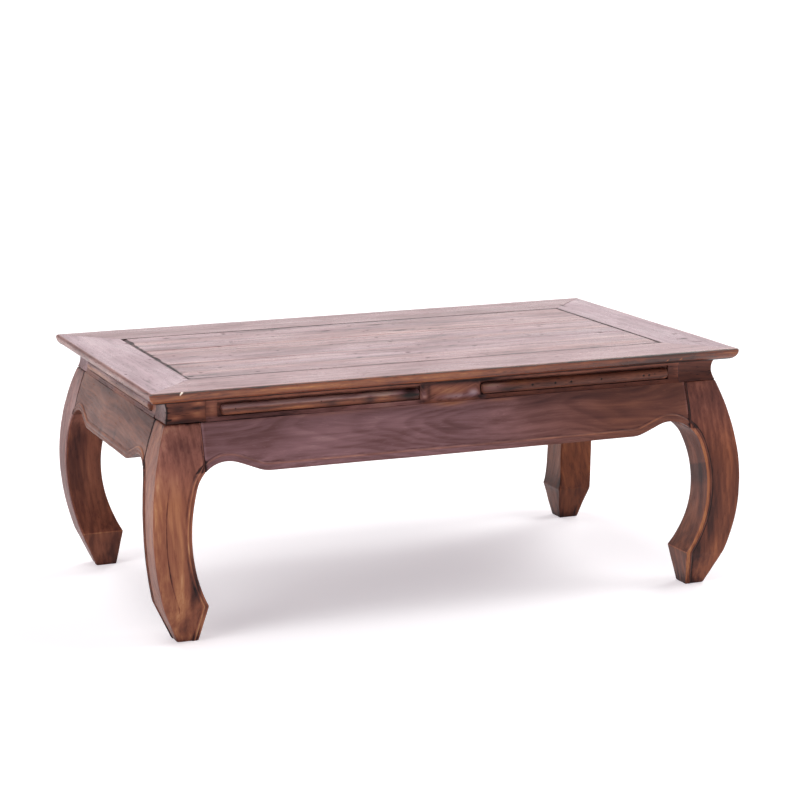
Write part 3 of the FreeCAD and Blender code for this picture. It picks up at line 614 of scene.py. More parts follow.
# Waist blocks: short coved blocks threaded on the legs' posts at the corners, under the top frame.
# Soot and old wax sit in the seam above the leg, and the front left one is chipped there.
FRAME_UNDER = 384.0
WAIST_LOW, WAIST_TOP = SHOULDER + 0.2, FRAME_UNDER - 0.1
WAIST_MIDDLE = (SHOULDER + FRAME_UNDER) / 2
WAIST_FLARE, COVE_RADIUS, BLOCK_INSET = 12.4, 36.0, 54.5
BLOCK_ARRIS = 2.5


def cove(up):
    """Out position of the hollow face of the waist."""
    chord = (FRAME_UNDER - SHOULDER) / 2
    centre = WAIST_FLARE + math.sqrt(COVE_RADIUS ** 2 - chord ** 2)
    return centre - np.sqrt(COVE_RADIUS ** 2 - (up - WAIST_MIDDLE) ** 2)


def block_rings():
    """Rings of a corner block, with wear at each point."""
    up = np.linspace(WAIST_LOW, WAIST_TOP, 34)
    outer = cove(up) - soft_end(up - SHOULDER, 1.6, 0.8)
    bend = outer - BLOCK_ARRIS
    columns = bent(bend, BLOCK_ARRIS, (45, 60, 75, 90), 0.4)
    columns += [(bend + share * (-BLOCK_INSET - bend), outer, 0.1) for share in np.linspace(0, 1, 32)[1:]]
    for share in np.linspace(0, 1, 8)[1:]:
        columns.append((-BLOCK_INSET, outer + share * (-BLOCK_INSET - outer), 0.0))
    return run_along(mirrored(columns), up, 2)


waist_wood = waxed_wood(
    "waxed brown teak of the waist", TEAK,
    figure=0.06, streaks=0.4, cloud=0.5, ring=6.0, sway=20.0, roughness=0.42, fibre=0.3, gloss=0.15,
)
BLOCK_TONES = {"back_right": 0.5, "back_left": 0.46, "front_left": 0.58, "front_right": 0.71}
BLOCK_SEAMS = {"back_right": 0.5, "back_left": 0.6, "front_left": 1.0, "front_right": 0.08}
# On the front left block: stains by x, and cracks on its left face by y.
BLOCK_STAINS = (
    (-448, 371, 12, 6, 0.2), (-417, 370, 8, 3, 0.2), (-440, 352, 22, 3, 0.15), (-416, 378, 9, 4, -0.35),
    (-417, 361, 10, 5, -0.33), (-452, 357, 9, 4, -0.25),
)
BLOCK_CRACKS = ((-290, 355, 9, 1.2, 0.9), (-284, 366, 12, 1.0, 0.6), (-288, 374, 8, 1.0, 0.5))
for number, (corner, place) in enumerate(CORNERS.items()):
    points, wear = block_rings()
    settled = turned(points, *place)
    up, seam, tone = points[..., 2], BLOCK_SEAMS[corner], BLOCK_TONES[corner]
    block = skin(f"coved_block_{corner}", settled)
    edge = np.exp((SHOULDER - up) / 3)
    chips = unit(ripple(points, (16, 16, 8), number + 40) + 0.1) * seam
    uneven = 0.25 * ripple(points, (14, 14, 10), number + 44)
    wear_down(block, 0.3 + uneven + 4.0 * edge * (chips + 0.3 * seam))
    # Beside the soot in the seam, darker under the frame: a painted shade.
    soil = seam * (0.9 * edge ** 2 + 0.35 * np.exp((up - FRAME_UNDER) / 4))
    leftward = unit(-facings(block)[:, 0]).reshape(soil.shape)
    # Left faces bloomed: a painted reflection of the white surroundings.
    haze = 0.1 + 0.75 * leftward
    if corner == "front_left":
        x, y = settled[..., 0], settled[..., 1]
        arris = bell((points[..., 0] - points[..., 1]) / 3)
        soil = soil + patches(y, up, BLOCK_CRACKS) * (x < -FOOT_X) + 0.75 * arris
        wear = wear - arris
        tone = tone + patches(x, up, BLOCK_STAINS) * (y < -FOOT_Y - 6) + 0.06 * leftward
        haze = haze - 0.3 * leftward
    lengthwise = points if corner in ("front_left", "back_right") else points[..., (1, 0, 2)]
    mark(block, lengthwise + (400 * number, 40, -330), tone=tone, wear=wear, soil=soil, haze=haze)
    dress(block, waist_wood)
    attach(block, "root")
    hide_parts(f"waist_block_{corner}")


# Waist boards: coved boards between the corner blocks, with channels cut for the slats. The plain
# middle of the front board is knocked and stained; the channels and the strip under the frame are
# painted darker, a painted shade.
WAIST_BACK, BOARD_PLAY = 14.0, 0.02
CHANNEL_OUT, CHANNEL_PLAY = 4.0, 1.2
SLAT_HEIGHT, SLAT_END_MARGIN, SLAT_MIDDLE_GAP = 20.0, 20.0, 106.0


def slat_spans(side, half_span):
    """Limits along the side of each slat: two on a long side, one on a short side."""
    end = half_span - BLOCK_INSET - SLAT_END_MARGIN
    if side in ("left", "right"):
        return {side: (-end, end)}
    first, second = ("right", "left") if side == "back" else ("left", "right")
    return {f"{side}_{first}": (SLAT_MIDDLE_GAP / 2, end), f"{side}_{second}": (-end, -SLAT_MIDDLE_GAP / 2)}


def waist_board_rings(side, half_span):
    """Rings of a waist board from block to block, with wear and soil at each point."""
    half = half_span - BLOCK_INSET - BOARD_PLAY
    spans = slat_spans(side, half_span).values()
    cuts = [limit + hand * CHANNEL_PLAY for span in spans for limit, hand in zip(span, (-1, 1))]
    steps = [cut + shift for cut in cuts for shift in (-0.8, -0.1, 0.1, 0.8)]
    along = np.unique(np.concatenate([np.arange(-half, half, 2.5), [half, half - 0.7, 0.7 - half], steps]))
    sunk = sum((along > low) & (along < high) for low, high in zip(cuts[::2], cuts[1::2])).astype(float)
    reach = SLAT_HEIGHT / 2 + CHANNEL_PLAY
    low, high = WAIST_MIDDLE - reach, WAIST_MIDDLE + reach
    columns = [(cove(up), up, 0.25, 0) for up in np.linspace(WAIST_LOW, low, 7)]
    # The channel and the strip under the frame are painted darker: a painted shade.
    for up in np.linspace(low + 0.05, high - 0.05, 14):
        columns.append((cove(up) + sunk * (CHANNEL_OUT - cove(up)), up, 0.15, 0.3 * sunk))
    for up in np.linspace(high, WAIST_TOP, 7):
        columns.append((cove(up), up, 0.15 - 0.15 * sunk, 0.4 * np.exp((up - FRAME_UNDER) / 3)))
    behind = [(-WAIST_BACK, up) for up in (WAIST_TOP, 372, 360, WAIST_LOW)]
    behind = [(0, WAIST_TOP), *behind, (0, WAIST_LOW)]
    return run_along(columns + [(*place, 0, 0.3) for place in behind], along, 0)


# On the front board: knocks on its plain middle and ends, the ledge under the slats, and bloomed wax with a
# painted glint near the right end of the middle.
WAIST_STAINS = (
    (-47, 374, 6, 6, 0.4), (-36, 366, 3, 12, 0.3), (50, 353, 9, 3, 0.4), (46, 379, 9, 4, 0.35),
    (390, 366, 12, 16, 0.16), (0, 380, 46, 5, 0.42), (-49, 352, 9, 3, 0.3), (-4, 366, 34, 8, -0.26),
    (10, 356, 32, 3, -0.18), (40, 360, 7, 4, -0.4), (-44, 358, 5, 3, -0.3), (-393, 366, 7, 10, -0.25),
)
LEDGE_STAINS = ((-290, 350, 75, 30, 0.18), (-110, 350, 55, 30, -0.15), (205, 350, 160, 30, 0.28))
WAIST_BLOOM_AND_GLINT = ((12, 356, 36, 4, 0.7), (40, 360, 9, 6, 0.8), (-45, 362, 6, 8, 0.5))
for number, (side, (degrees, x, y, half_span)) in enumerate(SIDES.items()):
    points, wear, soil = waist_board_rings(side, half_span)
    settled = turned(points, degrees, x, y)
    board = skin(f"coved_board_{side}", settled)
    x, up, seam = settled[..., 0], points[..., 2], seam_open(side, settled)
    above = up - SHOULDER
    chips = unit(ripple(points, (18, 18, 8), number + 50) - 0.1)
    lost = seam * (2.6 * np.exp(-above / 3) * chips + soft_end(above, 1.6, 0.8))
    uneven = 0.25 + 0.25 * ripple(points, (16, 12, 8), number + 54)
    wear_down(board, unit(points[..., 1] / 6) * (uneven * np.clip(above / 3, seam, 1) + lost))
    ledge, dark, bloom_and_glint, tone = unit((357 - up) / 3), 0.12, 0, 0.5
    grain = points + (1200 * number, 55, -320)
    if side == "front":
        plain = unit((SLAT_MIDDLE_GAP / 2 - np.abs(points[..., 0])) / 8)
        grain[..., 2] += 0.35 * points[..., 0] * plain
        ledge = ledge * (1 - plain)
        dark, bloom_and_glint = patches(x, up, LEDGE_STAINS), patches(x, up, WAIST_BLOOM_AND_GLINT)
        tone = tone + patches(x, up, WAIST_STAINS)
        # A darker strip above the slats: a painted shadow of the rim.
        soil = soil + unit((up - 376) / 2) * np.interp(x, (-70, -50, 50, 130, 230), (0.1, 0.0, 0.5, 0.3, 0.0))
    elif side == "left":
        ledge = 2 * seam * ledge
    haze = unit(0.15 + 0.4 * ledge * (x < 60) + bloom_and_glint)
    soil = soil + 0.6 * seam * np.exp(-above / 2)
    soil = soil + 2.0 * np.clip(dark, 0, 0.2) * ledge * unit(ripple(points, (40, 20, 4), number + 58) + 0.3)
    mark(board, grain, tone=tone + dark * ledge, wear=wear, soil=soil, haze=haze)
    dress(board, waist_wood)
    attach(board, "root")
    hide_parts(f"waist_board_{side}")


# Slats: half-round bars laid in the channels of the waist, split from straight-grained teak and
# scraped round, with softened ends. Paler where cloths have rubbed the crown. The upper half is
# painted paler and bloomed, a painted highlight, and the edges darker, a painted shade.
SLAT_EDGE, SLAT_CROWN, SLAT_END_RADIUS = 3.0, 8.0, 6.5
SLAT_SHRUNK, SLAT_DROP = 1.6, 1.5       # lost from their height, and how far they have sunk in the channels
SLAT_SHORTENED = {"front_left": 4.0}    # shrunk away from the end of its channel


def new_shape(name, *numbers):
    """An empty tree that takes a geometry, numbers and a finish, and its sockets for them."""
    tree = bpy.data.node_groups.new(name, "GeometryNodeTree")
    sockets = [("Geometry", "INPUT", "Geometry"), *((word, "INPUT", "Float") for word in numbers)]
    for word, way, kind in sockets + [("Finish", "INPUT", "Material"), ("Geometry", "OUTPUT", "Geometry")]:
        tree.interface.new_socket(word, in_out=way, socket_type=f"NodeSocket{kind}")
    return tree, node(tree, "NodeGroupInput").outputs


def end_shape(tree, geometry, finish):
    """The last steps of a tree: one plain mesh in its finish."""
    whole = node(tree, "GeometryNodeRealizeInstances", {"Geometry": geometry}).outputs["Geometry"]
    coated = node(tree, "GeometryNodeSetMaterial", {"Geometry": whole, "Material": finish})
    node(tree, "NodeGroupOutput", {"Geometry": coated.outputs["Geometry"]})
    return tree


def half_round_bar():
    """A tree that turns a cylinder into a half-round bar along X, flat at the back, with rounded ends."""
    tree, given = new_shape("half round bar", "Length", "Height", "Edge", "Crown", "End Radius")
    bar = node(tree, "GeometryNodeMeshCylinder", {
        "Vertices": 48, "Side Segments": 240, "Radius": 1.0, "Depth": 1.0,
    }, fill_type="NGON")
    place = node(tree, "GeometryNodeInputPosition").outputs["Position"]
    at = node(tree, "ShaderNodeSeparateXYZ", {"Vector": place}).outputs
    sums = {}                           # step by step: how far along, up and out each point goes
    for word, operation, values in (
        ("along", "MULTIPLY", (at["Z"], given["Length"])),
        ("off", "ABSOLUTE", ("along",)),
        ("half", "MULTIPLY", (given["Length"], 0.5)),
        ("from end", "SUBTRACT", ("half", "off")),
        ("share", "DIVIDE", ("from end", given["End Radius"])),
        ("inside", "MINIMUM", ("share", 1.0)),
        ("short", "SUBTRACT", (1.0, "inside")),
        ("square", "MULTIPLY", ("short", "short")),
        ("left", "SUBTRACT", (1.0, "square")),
        ("left over", "MAXIMUM", ("left", 0.0)),
        ("round", "SQRT", ("left over",)),
        ("lost", "SUBTRACT", (1.0, "round")),
        ("cut", "MULTIPLY", ("lost", given["End Radius"])),
        ("middle", "MULTIPLY", (given["Height"], 0.5)),
        ("reach", "SUBTRACT", ("middle", "cut")),
        ("up", "MULTIPLY", (at["Y"], "reach")),
        ("front", "MAXIMUM", (at["X"], 0.0)),
        ("fall", "MULTIPLY_ADD", ("round", 0.5, 0.5)),
        ("swell", "MULTIPLY", ("front", "fall")),
        ("crown", "MULTIPLY", ("swell", given["Crown"])),
        ("behind", "MULTIPLY", (at["X"], 4.0)),
        ("flat", "MAXIMUM", ("behind", -1.0)),
        ("level", "MINIMUM", ("flat", 0.0)),
        ("edge", "MULTIPLY_ADD", ("level", given["Edge"], given["Edge"])),
        ("out", "ADD", ("edge", "crown")),
    ):
        taken = {i: sums[v] if isinstance(v, str) else v for i, v in enumerate(values)}
        sums[word] = node(tree, "ShaderNodeMath", taken, operation=operation).outputs["Value"]
    moved = node(tree, "ShaderNodeCombineXYZ", {"X": sums["along"], "Y": sums["out"], "Z": sums["up"]})
    shaped = node(tree, "GeometryNodeSetPosition", {
        "Geometry": bar.outputs["Mesh"], "Position": moved.outputs["Vector"],
    })
    return end_shape(tree, shaped.outputs["Geometry"], given["Finish"])


def grown(name, tree, base=None, **inputs):
    """A piece with the plain mesh that a tree gives for its named inputs."""
    holder = bpy.data.objects.new(name, base or bpy.data.meshes.new(name))
    bpy.context.scene.collection.objects.link(holder)
    modifier = holder.modifiers.new("made by", "NODES")
    modifier.node_group = tree
    for item in tree.interface.items_tree:
        if item.in_out == "INPUT" and item.name in inputs:
            modifier[item.identifier] = inputs[item.name]
    graph = bpy.context.evaluated_depsgraph_get()
    mesh = bpy.data.meshes.new_from_object(holder.evaluated_get(graph), depsgraph=graph)
    holder.modifiers.remove(modifier)
    holder.data = mesh
    return holder


slat_wood = waxed_wood(
    "waxed straight-grained teak of the slats",
    ("#dba56c", "#b4754c", "#88503c", "#623a30", "#422723", "#1e1311"),
    figure=0.04, streaks=0.4, cloud=0.5, ring=5.0, sway=10.0, roughness=0.4,
)
SLAT_LOOKS = {                          # how dark the stain is, and how strong the bloom and the painted highlight
    "front_left": (0.57, 0.75), "front_right": (0.54, 0.08), "left": (0.46, 0.7), "right": (0.5, 0.4),
    "back_left": (0.5, 0.4), "back_right": (0.48, 0.4),
}
# On the front slats: stains, a bloomed place, and worm holes by x.
SLAT_STAINS = (
    (-70, 366, 16, 12, 0.4), (-138, 362, 8, 8, 0.3), (100, 360, 18, 4, 0.25), (75, 374, 18, 3, 0.15),
    (-200, 361, 10, 4, 0.25), (-165, 371, 16, 3, 0.2), (-68, 371, 14, 6, 0.35), (-255, 361, 32, 4, -0.25),
    (-350, 360, 30, 4, -0.1), (-180, 361, 30, 3, -0.1), (-113, 368, 12, 6, -0.2), (72, 369, 14, 5, -0.22),
    (377, 358, 3, 1.5, -0.3), (250, 362, 60, 3, -0.08),
)
SLAT_BLOOM = ((72, 368, 22, 9, 0.5),)
WORM_HOLES = (140, 180, 208, 262, 338, 348)
bar_tree = half_round_bar()
slat_up, slat_height = WAIST_MIDDLE - SLAT_DROP, SLAT_HEIGHT - SLAT_SHRUNK
hole_places = [(hole, slat_up + 0.5, 1.6, 1.6, 1.0) for hole in WORM_HOLES]
for number, (side, (degrees, x, y, half_span)) in enumerate(SIDES.items()):
    for label, (start, end) in slat_spans(side, half_span).items():
        end -= SLAT_SHORTENED.get(label, 0)
        slat = grown(f"half_round_slat_{label}", bar_tree, Finish=slat_wood, **{
            "Length": end - start, "Height": slat_height, "Edge": SLAT_EDGE, "Crown": SLAT_CROWN,
            "End Radius": SLAT_END_RADIUS,
        })
        points = corners_of(slat) + ((start + end) / 2, CHANNEL_OUT, slat_up)
        settled = turned(points, degrees, x, y)
        slat.data.vertices.foreach_set("co", (settled * MM).ravel())
        slat.data.update()
        along, up, out = settled[:, 0], points[:, 2], points[:, 1] - CHANNEL_OUT
        seed = 60 + 2 * number + (start > 0)
        facing = unit(out / 4)
        in_front = (side == "front") * facing
        holes = patches(along, up, hole_places) * in_front
        uneven = 0.3 * ripple(points, (60, 10, 8), seed) + 0.15 * ripple(points, (14, 5, 5), seed + 9)
        wear_down(slat, facing * (0.3 + uneven) + 1.2 * holes)
        tone, bloom_and_highlight = SLAT_LOOKS[label]
        # The upper half is painted paler and bloomed: a painted highlight.
        level = 2 * (up - slat_up) / slat_height
        lit = unit((level - 0.05) / 0.35)
        haze = bloom_and_highlight * lit + in_front * patches(along, up, SLAT_BLOOM)
        # Beside the worm holes, the back, the flat edges and the top and bottom of the crown are painted
        # darker: a painted shade.
        soil = 0.6 * (1 - facing) + 1.5 * holes
        soil = soil + 0.5 * np.exp((-level - 1) / 0.12) + 0.2 * np.exp((level - 1) / 0.12)
        shade = patches(along, up, SLAT_STAINS) - (0.14 + 0.36 * bloom_and_highlight) * lit
        tone = tone + in_front * (shade + 0.12 * bloom_and_highlight * bell((level + 0.02) / 0.12))
        wear = 0.25 * unit((out - 7) / 4)
        mark(slat, points + (1500 * number, 30, -330), tone=tone, wear=wear, soil=soil, haze=haze)
        dress(slat, slat_wood)
        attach(slat, "root")
        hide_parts(f"waist_slat_{label}")


# Slat pins: small cut brads of steel, three through the crown of each slat into the waist board.
# Their heads are flush with the wood, dark with rust and wax.
PIN_END_DISTANCE, PIN_LENGTH, PIN_WIDTH = 26.0, 19.0, 2.0
PIN_RADIUS = 0.7 * PIN_WIDTH            # half the diagonal of its square
PIN_TIP, PIN_SUNK = 0.3, 0.4            # the same at the point, and depth of the head below the crown
PINS_PER_SLAT = 3


def brad_rows():
    """A tree that sets a square, tapering brad on each point, turned to face out of its side."""
    tree, given = new_shape("rows of brads", "Length", "Radius", "Tip")
    brad = node(tree, "GeometryNodeMeshCone", {
        "Vertices": 4, "Side Segments": 3, "Depth": given["Length"],
        "Radius Top": given["Radius"], "Radius Bottom": given["Tip"],
    }, fill_type="NGON")
    facing = node(tree, "GeometryNodeInputNamedAttribute", {"Name": "facing"}, data_type="FLOAT_VECTOR")
    turn = node(tree, "FunctionNodeAlignRotationToVector", {"Vector": facing.outputs["Attribute"]}, axis="Z")
    set_in = node(tree, "GeometryNodeInstanceOnPoints", {
        "Points": given["Geometry"], "Instance": brad.outputs["Mesh"], "Rotation": turn.outputs["Rotation"],
    })
    return end_shape(tree, set_in.outputs["Instances"], given["Finish"])


def rusted_steel(name):
    """Cut steel gone brown under wax: dull and dark, a little mottled."""
    material = bpy.data.materials.new(name)
    material.use_nodes = True
    tree = material.node_tree
    tree.nodes.clear()
    place = node(tree, "ShaderNodeTexCoord").outputs["Object"]
    mottle = node(tree, "ShaderNodeTexNoise", {"Vector": place, "Scale": 1 / (0.8 * MM), "Detail": 2.0})
    rust = node(tree, "ShaderNodeValToRGB", {"Fac": mottle.outputs[0]})
    for stop, colour in zip(rust.color_ramp.elements, ("#14100f", "#3b2a24")):
        stop.color = linear(colour)
    shader = node(tree, "ShaderNodeBsdfPrincipled", {
        "Base Color": rust.outputs["Color"], "Roughness": 0.55, "Metallic": 0.6,
    })
    node(tree, "ShaderNodeOutputMaterial", {"Surface": shader.outputs["BSDF"]})
    return material


tips, outward = [], []
tip_out = CHANNEL_OUT + SLAT_EDGE + SLAT_CROWN - PIN_SUNK - PIN_LENGTH
for side, (degrees, x, y, half_span) in SIDES.items():
    out = turned(np.array([0.0, 1.0, 0.0]), degrees, 0, 0)
    for start, end in slat_spans(side, half_span).values():
        for along in np.linspace(start + PIN_END_DISTANCE, end - PIN_END_DISTANCE, PINS_PER_SLAT):
            tips.append(turned(np.array([along, tip_out, WAIST_MIDDLE]), degrees, x, y) * MM)
            outward.append(out)
spots = bpy.data.meshes.new("brad places")
spots.from_pydata([tuple(tip) for tip in tips], [], [])
layer = spots.attributes.new("facing", "FLOAT_VECTOR", "POINT")
layer.data.foreach_set("vector", np.array(outward, np.float32).ravel())
pins = grown(
    "slat_brads", brad_rows(), spots, Finish=rusted_steel("waxed rusty steel"),
    Length=PIN_LENGTH * MM, Radius=PIN_RADIUS * MM, Tip=PIN_TIP * MM,
)
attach(pins, "root")
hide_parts("slat_pins")


# Cross bearers: two sawn battens under the panel, housed in the waist. They are left as they came
# from the saw and only washed with stain.
bearer_wood = waxed_wood(
    "sawn stained teak of the bearers", ("#8a6248", "#714d3b", "#5a3d31", "#463028", "#33231f", "#1d1413"),
    figure=0.1, streaks=0.3, cloud=0.4, ring=8.0, sway=16.0, roughness=0.62,
)
for hand in ("left", "right"):
    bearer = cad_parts[f"cross_bearer_{hand}"]
    grain = corners_of(bearer)[:, (1, 0, 2)] / MM + (0, 60, -300)
    mark(bearer, grain, tone=0.5, wear=0, soil=0.3, haze=0)
    bearer.data.materials.clear()
    bearer.data.materials.append(bearer_wood)


# Top frame: four rails mitred at the corners, grooved for the panel, with a rim rounded under. The top
# is scraped flat and waxed to a sheen. Hands have rubbed the rim to orange wood below a line of
# old polish along its arris.
TOP = 403.0
HALF_LENGTH, HALF_WIDTH = 500.0, 320.0
LONG_RAIL, END_RAIL = 106.0, 91.0
RIM_ARRIS, RIM_UNDERCUT, RIM_RADIUS = 4.0, 13.5, 15.5
CORNER_RADIUS = 5.0                     # of the rim's corners, seen from above
TONGUE_LOW, TONGUE_TOP = 394.0, 399.0
GROOVE_DEPTH, GROOVE_PLAY, MITRE_PLAY = 6.65, 0.15, 0.08
RAILS = {                               # turn, out to the rim, width, half-length, next rail's width
    "back": (0, HALF_WIDTH, LONG_RAIL, HALF_LENGTH, END_RAIL),
    "left": (90, HALF_LENGTH, END_RAIL, HALF_WIDTH, LONG_RAIL),
    "front": (180, HALF_WIDTH, LONG_RAIL, HALF_LENGTH, END_RAIL),
    "right": (270, HALF_LENGTH, END_RAIL, HALF_WIDTH, LONG_RAIL),
}


def rim_profile(outer):
    """Points of the rounded rim from the top down to the underside."""
    arris = [
        (outer - RIM_ARRIS + RIM_ARRIS * math.sin(angle), TOP - RIM_ARRIS + RIM_ARRIS * math.cos(angle))
        for angle in np.radians((0, 18, 36, 54, 72, 90))
    ]
    low, high = np.array([outer - RIM_UNDERCUT, FRAME_UNDER]), np.array([outer, TOP - RIM_ARRIS])
    chord = high - low
    reach = math.sqrt(RIM_RADIUS ** 2 - chord @ chord / 4)
    centre = (low + high) / 2 + np.array([-chord[1], chord[0]]) / np.linalg.norm(chord) * reach
    first, last = (math.atan2(*(point - centre)[::-1]) for point in (high, low))
    angles = np.linspace(first, last, 14)[1:]
    return arris, [centre + RIM_RADIUS * np.array([math.cos(angle), math.sin(angle)]) for angle in angles]


def rail_rings(outer, width, half, cross, mitres):
    """Rings of a rail from mitre to mitre, with shares of wear, soil and rim at each point."""
    inner = outer - width
    groove_low, groove_top = TONGUE_LOW - GROOVE_PLAY, TONGUE_TOP + GROOVE_PLAY
    arris, under = rim_profile(outer)
    section = [(inner + inset, up, 0, soil, 0) for inset, up, soil in (
        (0, FRAME_UNDER, 0.4), (0, groove_low, 0.9), (GROOVE_DEPTH, groove_low, 1),
        (GROOVE_DEPTH, groove_top, 1), (0, groove_top, 1), (0, TOP - 2.0, 1), (0.1, TOP - 0.8, 0.9),
        (0.5, TOP - 0.2, 0.9), (1.2, TOP, 0.6), (2.4, TOP, 0.3),
    )]
    section += [(out, TOP, 0, 0, 0) for out in np.linspace(inner + 4, outer - RIM_ARRIS - 3, 42)]
    section += [(outer - RIM_ARRIS - 1.2, TOP, 0, 0, 0.2)]
    section += [(*place, 0, soil, 1) for place, soil in zip(arris, (0.15, 0.4, 0.6, 0.55, 0.3, 0.05))]
    # The rim is painted darker as it turns under, and the underside too: a painted shade.
    section += [(*place, 0.4 * unit(1 - k / 9), unit((k - 6) / 3), 1) for k, place in enumerate(under)]
    section += [(out, FRAME_UNDER, 0, 0.5, 1) for out in np.linspace(outer - RIM_UNDERCUT - 2, inner + 4, 10)]
    section = np.array(section)
    across, height = section[:, 0], section[:, 1]
    reach = half - cross + (across - inner) * cross / width
    tips = 1 - np.array([0, 0.6, 1.3, 2.2, 3.2, 4.4, 6.0]) / half
    slash = np.linspace(0.885, 0.915, 32)
    share = np.unique(np.concatenate([tips, -tips, np.linspace(-tips[-1], tips[-1], 330), slash]))
    near = (1 - np.abs(share[:, None])) * reach
    short = np.clip(CORNER_RADIUS - near, 0, CORNER_RADIUS)
    rounding = CORNER_RADIUS - np.sqrt(CORNER_RADIUS ** 2 - short ** 2)
    points = np.stack([
        share[:, None] * (reach - MITRE_PLAY),
        across - rounding * unit((across - outer + 30) / 20) * 0.6,
        height - np.where(height > TOP - 2.5, soft_end(near, 0.8, 0.1), 0),
    ], axis=-1)
    at_mitre = np.where(share < 0, *mitres)[:, None] * np.exp(-near / 1.6)
    wear, soil, rim = (np.broadcast_to(section[:, k], near.shape) for k in (2, 3, 4))
    return points, wear, soil + at_mitre, rim


frame_wood = waxed_wood(
    "polished teak of the top frame", ("#efe3d6", "#bf7d46", "#9b5a34", "#783c25", "#4e261b", "#241310"),
    figure=0.04, streaks=0.5, cloud=0.4, ring=7.0, sway=18.0, roughness=0.27, gloss="sheen", checks=0.6,
)
MITRES = {                              # how open they are at each end
    "back": (0.25, 0.1), "left": (0.1, 0.25), "front": (0.25, 0.1), "right": (0.1, 0.25),
}
TOP_LOOKS = {                           # how dark the stain is, and how bloomed the wax, partly a painted reflection
    "back": (0.43, 0.85), "left": (0.27, 1.0), "front": (0.36, 0.85), "right": (0.32, 1.0),
}
TOP_SHEEN = 0.5
RIM_LOOKS = {                           # the same on the rim, then its sheen
    "back": (0.52, 0.3, 0.3), "left": (0.49, 0.55, 0.12),
    "front": (0.475, 0.0, 0.5), "right": (0.5, 0.3, 0.3),
}
RIM_STAINS = (
    (250, 395, 170, 30, 0.1), (430, 395, 90, 30, 0.13), (345, 395, 110, 30, 0.22), (120, 389, 90, 5, 0.12),
    (-110, 395, 60, 30, 0.07), (-250, 388, 40, 4, 0.2), (-120, 387, 30, 3, 0.15), (-400, 392, 60, 30, 0.03),
    (-110, 392, 70, 8, 0.06), (-380, 392, 80, 30, 0.05), (90, 395, 60, 30, 0.07), (330, 393, 130, 12, 0.06),
)
# A fresh slash across the arris, and two small chips.
RIM_CHIPS = [(-452.4 + 0.84 * step, 399.6 + 0.66 * step, 0.6, 0.9, 1.6) for step in range(6)]
RIM_CHIPS += [(370, 391.5, 1.2, 1.0, 0.7), (394, 391.5, 1.2, 1.0, 0.7)]
# Cracks and pits on the top by x and y.
TOP_CRACKS = (
    (471, -140, 5, 4, 1.1), (460, -192, 11, 4, 1.2), (468, -228, 10, 4, 0.9), (432, -2, 8, 5, 0.6),
    (433, 240, 4, 18, 0.8), (-488, -128, 2.2, 5, 1.2), (-417, -9, 3, 4, 0.8), (-422, -174, 3, 4, 0.7),
    (-414, -203, 4, 4, 0.6), (-482, -273, 5, 3, 0.6), (-460, 44, 3, 8, 0.5), (-413, 165, 4, 8, 0.6),
    (-440, 100, 2, 5, 0.5), (-470, -40, 2, 6, 0.5),
)
for number, (side, (degrees, outer, width, half, cross)) in enumerate(RAILS.items()):
    points, wear, soil, rim = rail_rings(outer, width, half, cross, MITRES[side])
    settled = turned(points, degrees, 0, 0)
    rail = skin(f"mitred_rail_{side}", settled)
    x, up, in_front = settled[..., 0], points[..., 2], (side == "front") * rim
    over = unit((points[..., 1] - outer + width - 1) / 3)
    uneven = 0.25 * ripple(points, (140, 25, 20), number + 70)
    uneven = uneven + 0.15 * ripple(points, (40, 6, 6), number + 75)
    cracks = patches(x, settled[..., 1], TOP_CRACKS) * (up > TOP - 1)
    chips = np.minimum(patches(x, up, RIM_CHIPS), 1) * in_front
    wear_down(rail, over * (0.3 + uneven) + 0.5 * cracks + 0.8 * chips)
    (top_tone, top_bloom_and_sheen), (rim_tone, rim_bloom_and_sheen, rim_sheen) = TOP_LOOKS[side], RIM_LOOKS[side]
    tone = np.where(rim > 0.5, rim_tone, top_tone) + patches(x, up, RIM_STAINS) * in_front - 2 * chips
    haze = (top_bloom_and_sheen + rim * (rim_bloom_and_sheen - top_bloom_and_sheen)) * (1 - chips)
    sheen = TOP_SHEEN + rim * (rim_sheen - TOP_SHEEN)
    soil = soil * (1 - chips) * (1 - 0.5 * rim * (side == "left")) + cracks
    grain = points + (1700 * number, 40 - outer, -340)
    mark(rail, grain, tone=tone, wear=wear, soil=soil, haze=haze, sheen=sheen)
    dress(rail, frame_wood)
    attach(rail, "root")
    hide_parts(f"top_rail_{side}")


# Panel: three boards along the table, tongued into the frame and into each other and free to move,
# so a dark open seam runs round them. Their waxed face is checked, pitted and scratched by use.
PANEL_SEAM, BOARD_SEAM, BOARD_COUNT = 1.5, 0.5, 3
PANEL_UNDER, TONGUE_LENGTH, TONGUE_END = 390.0, 8.0, 6.0
RAGGED = 8.5                            # how far the left ends of the boards have crumbled
half_x = HALF_LENGTH - END_RAIL - PANEL_SEAM
half_y = HALF_WIDTH - LONG_RAIL - PANEL_SEAM
pitch = (2 * half_y + BOARD_SEAM) / BOARD_COUNT


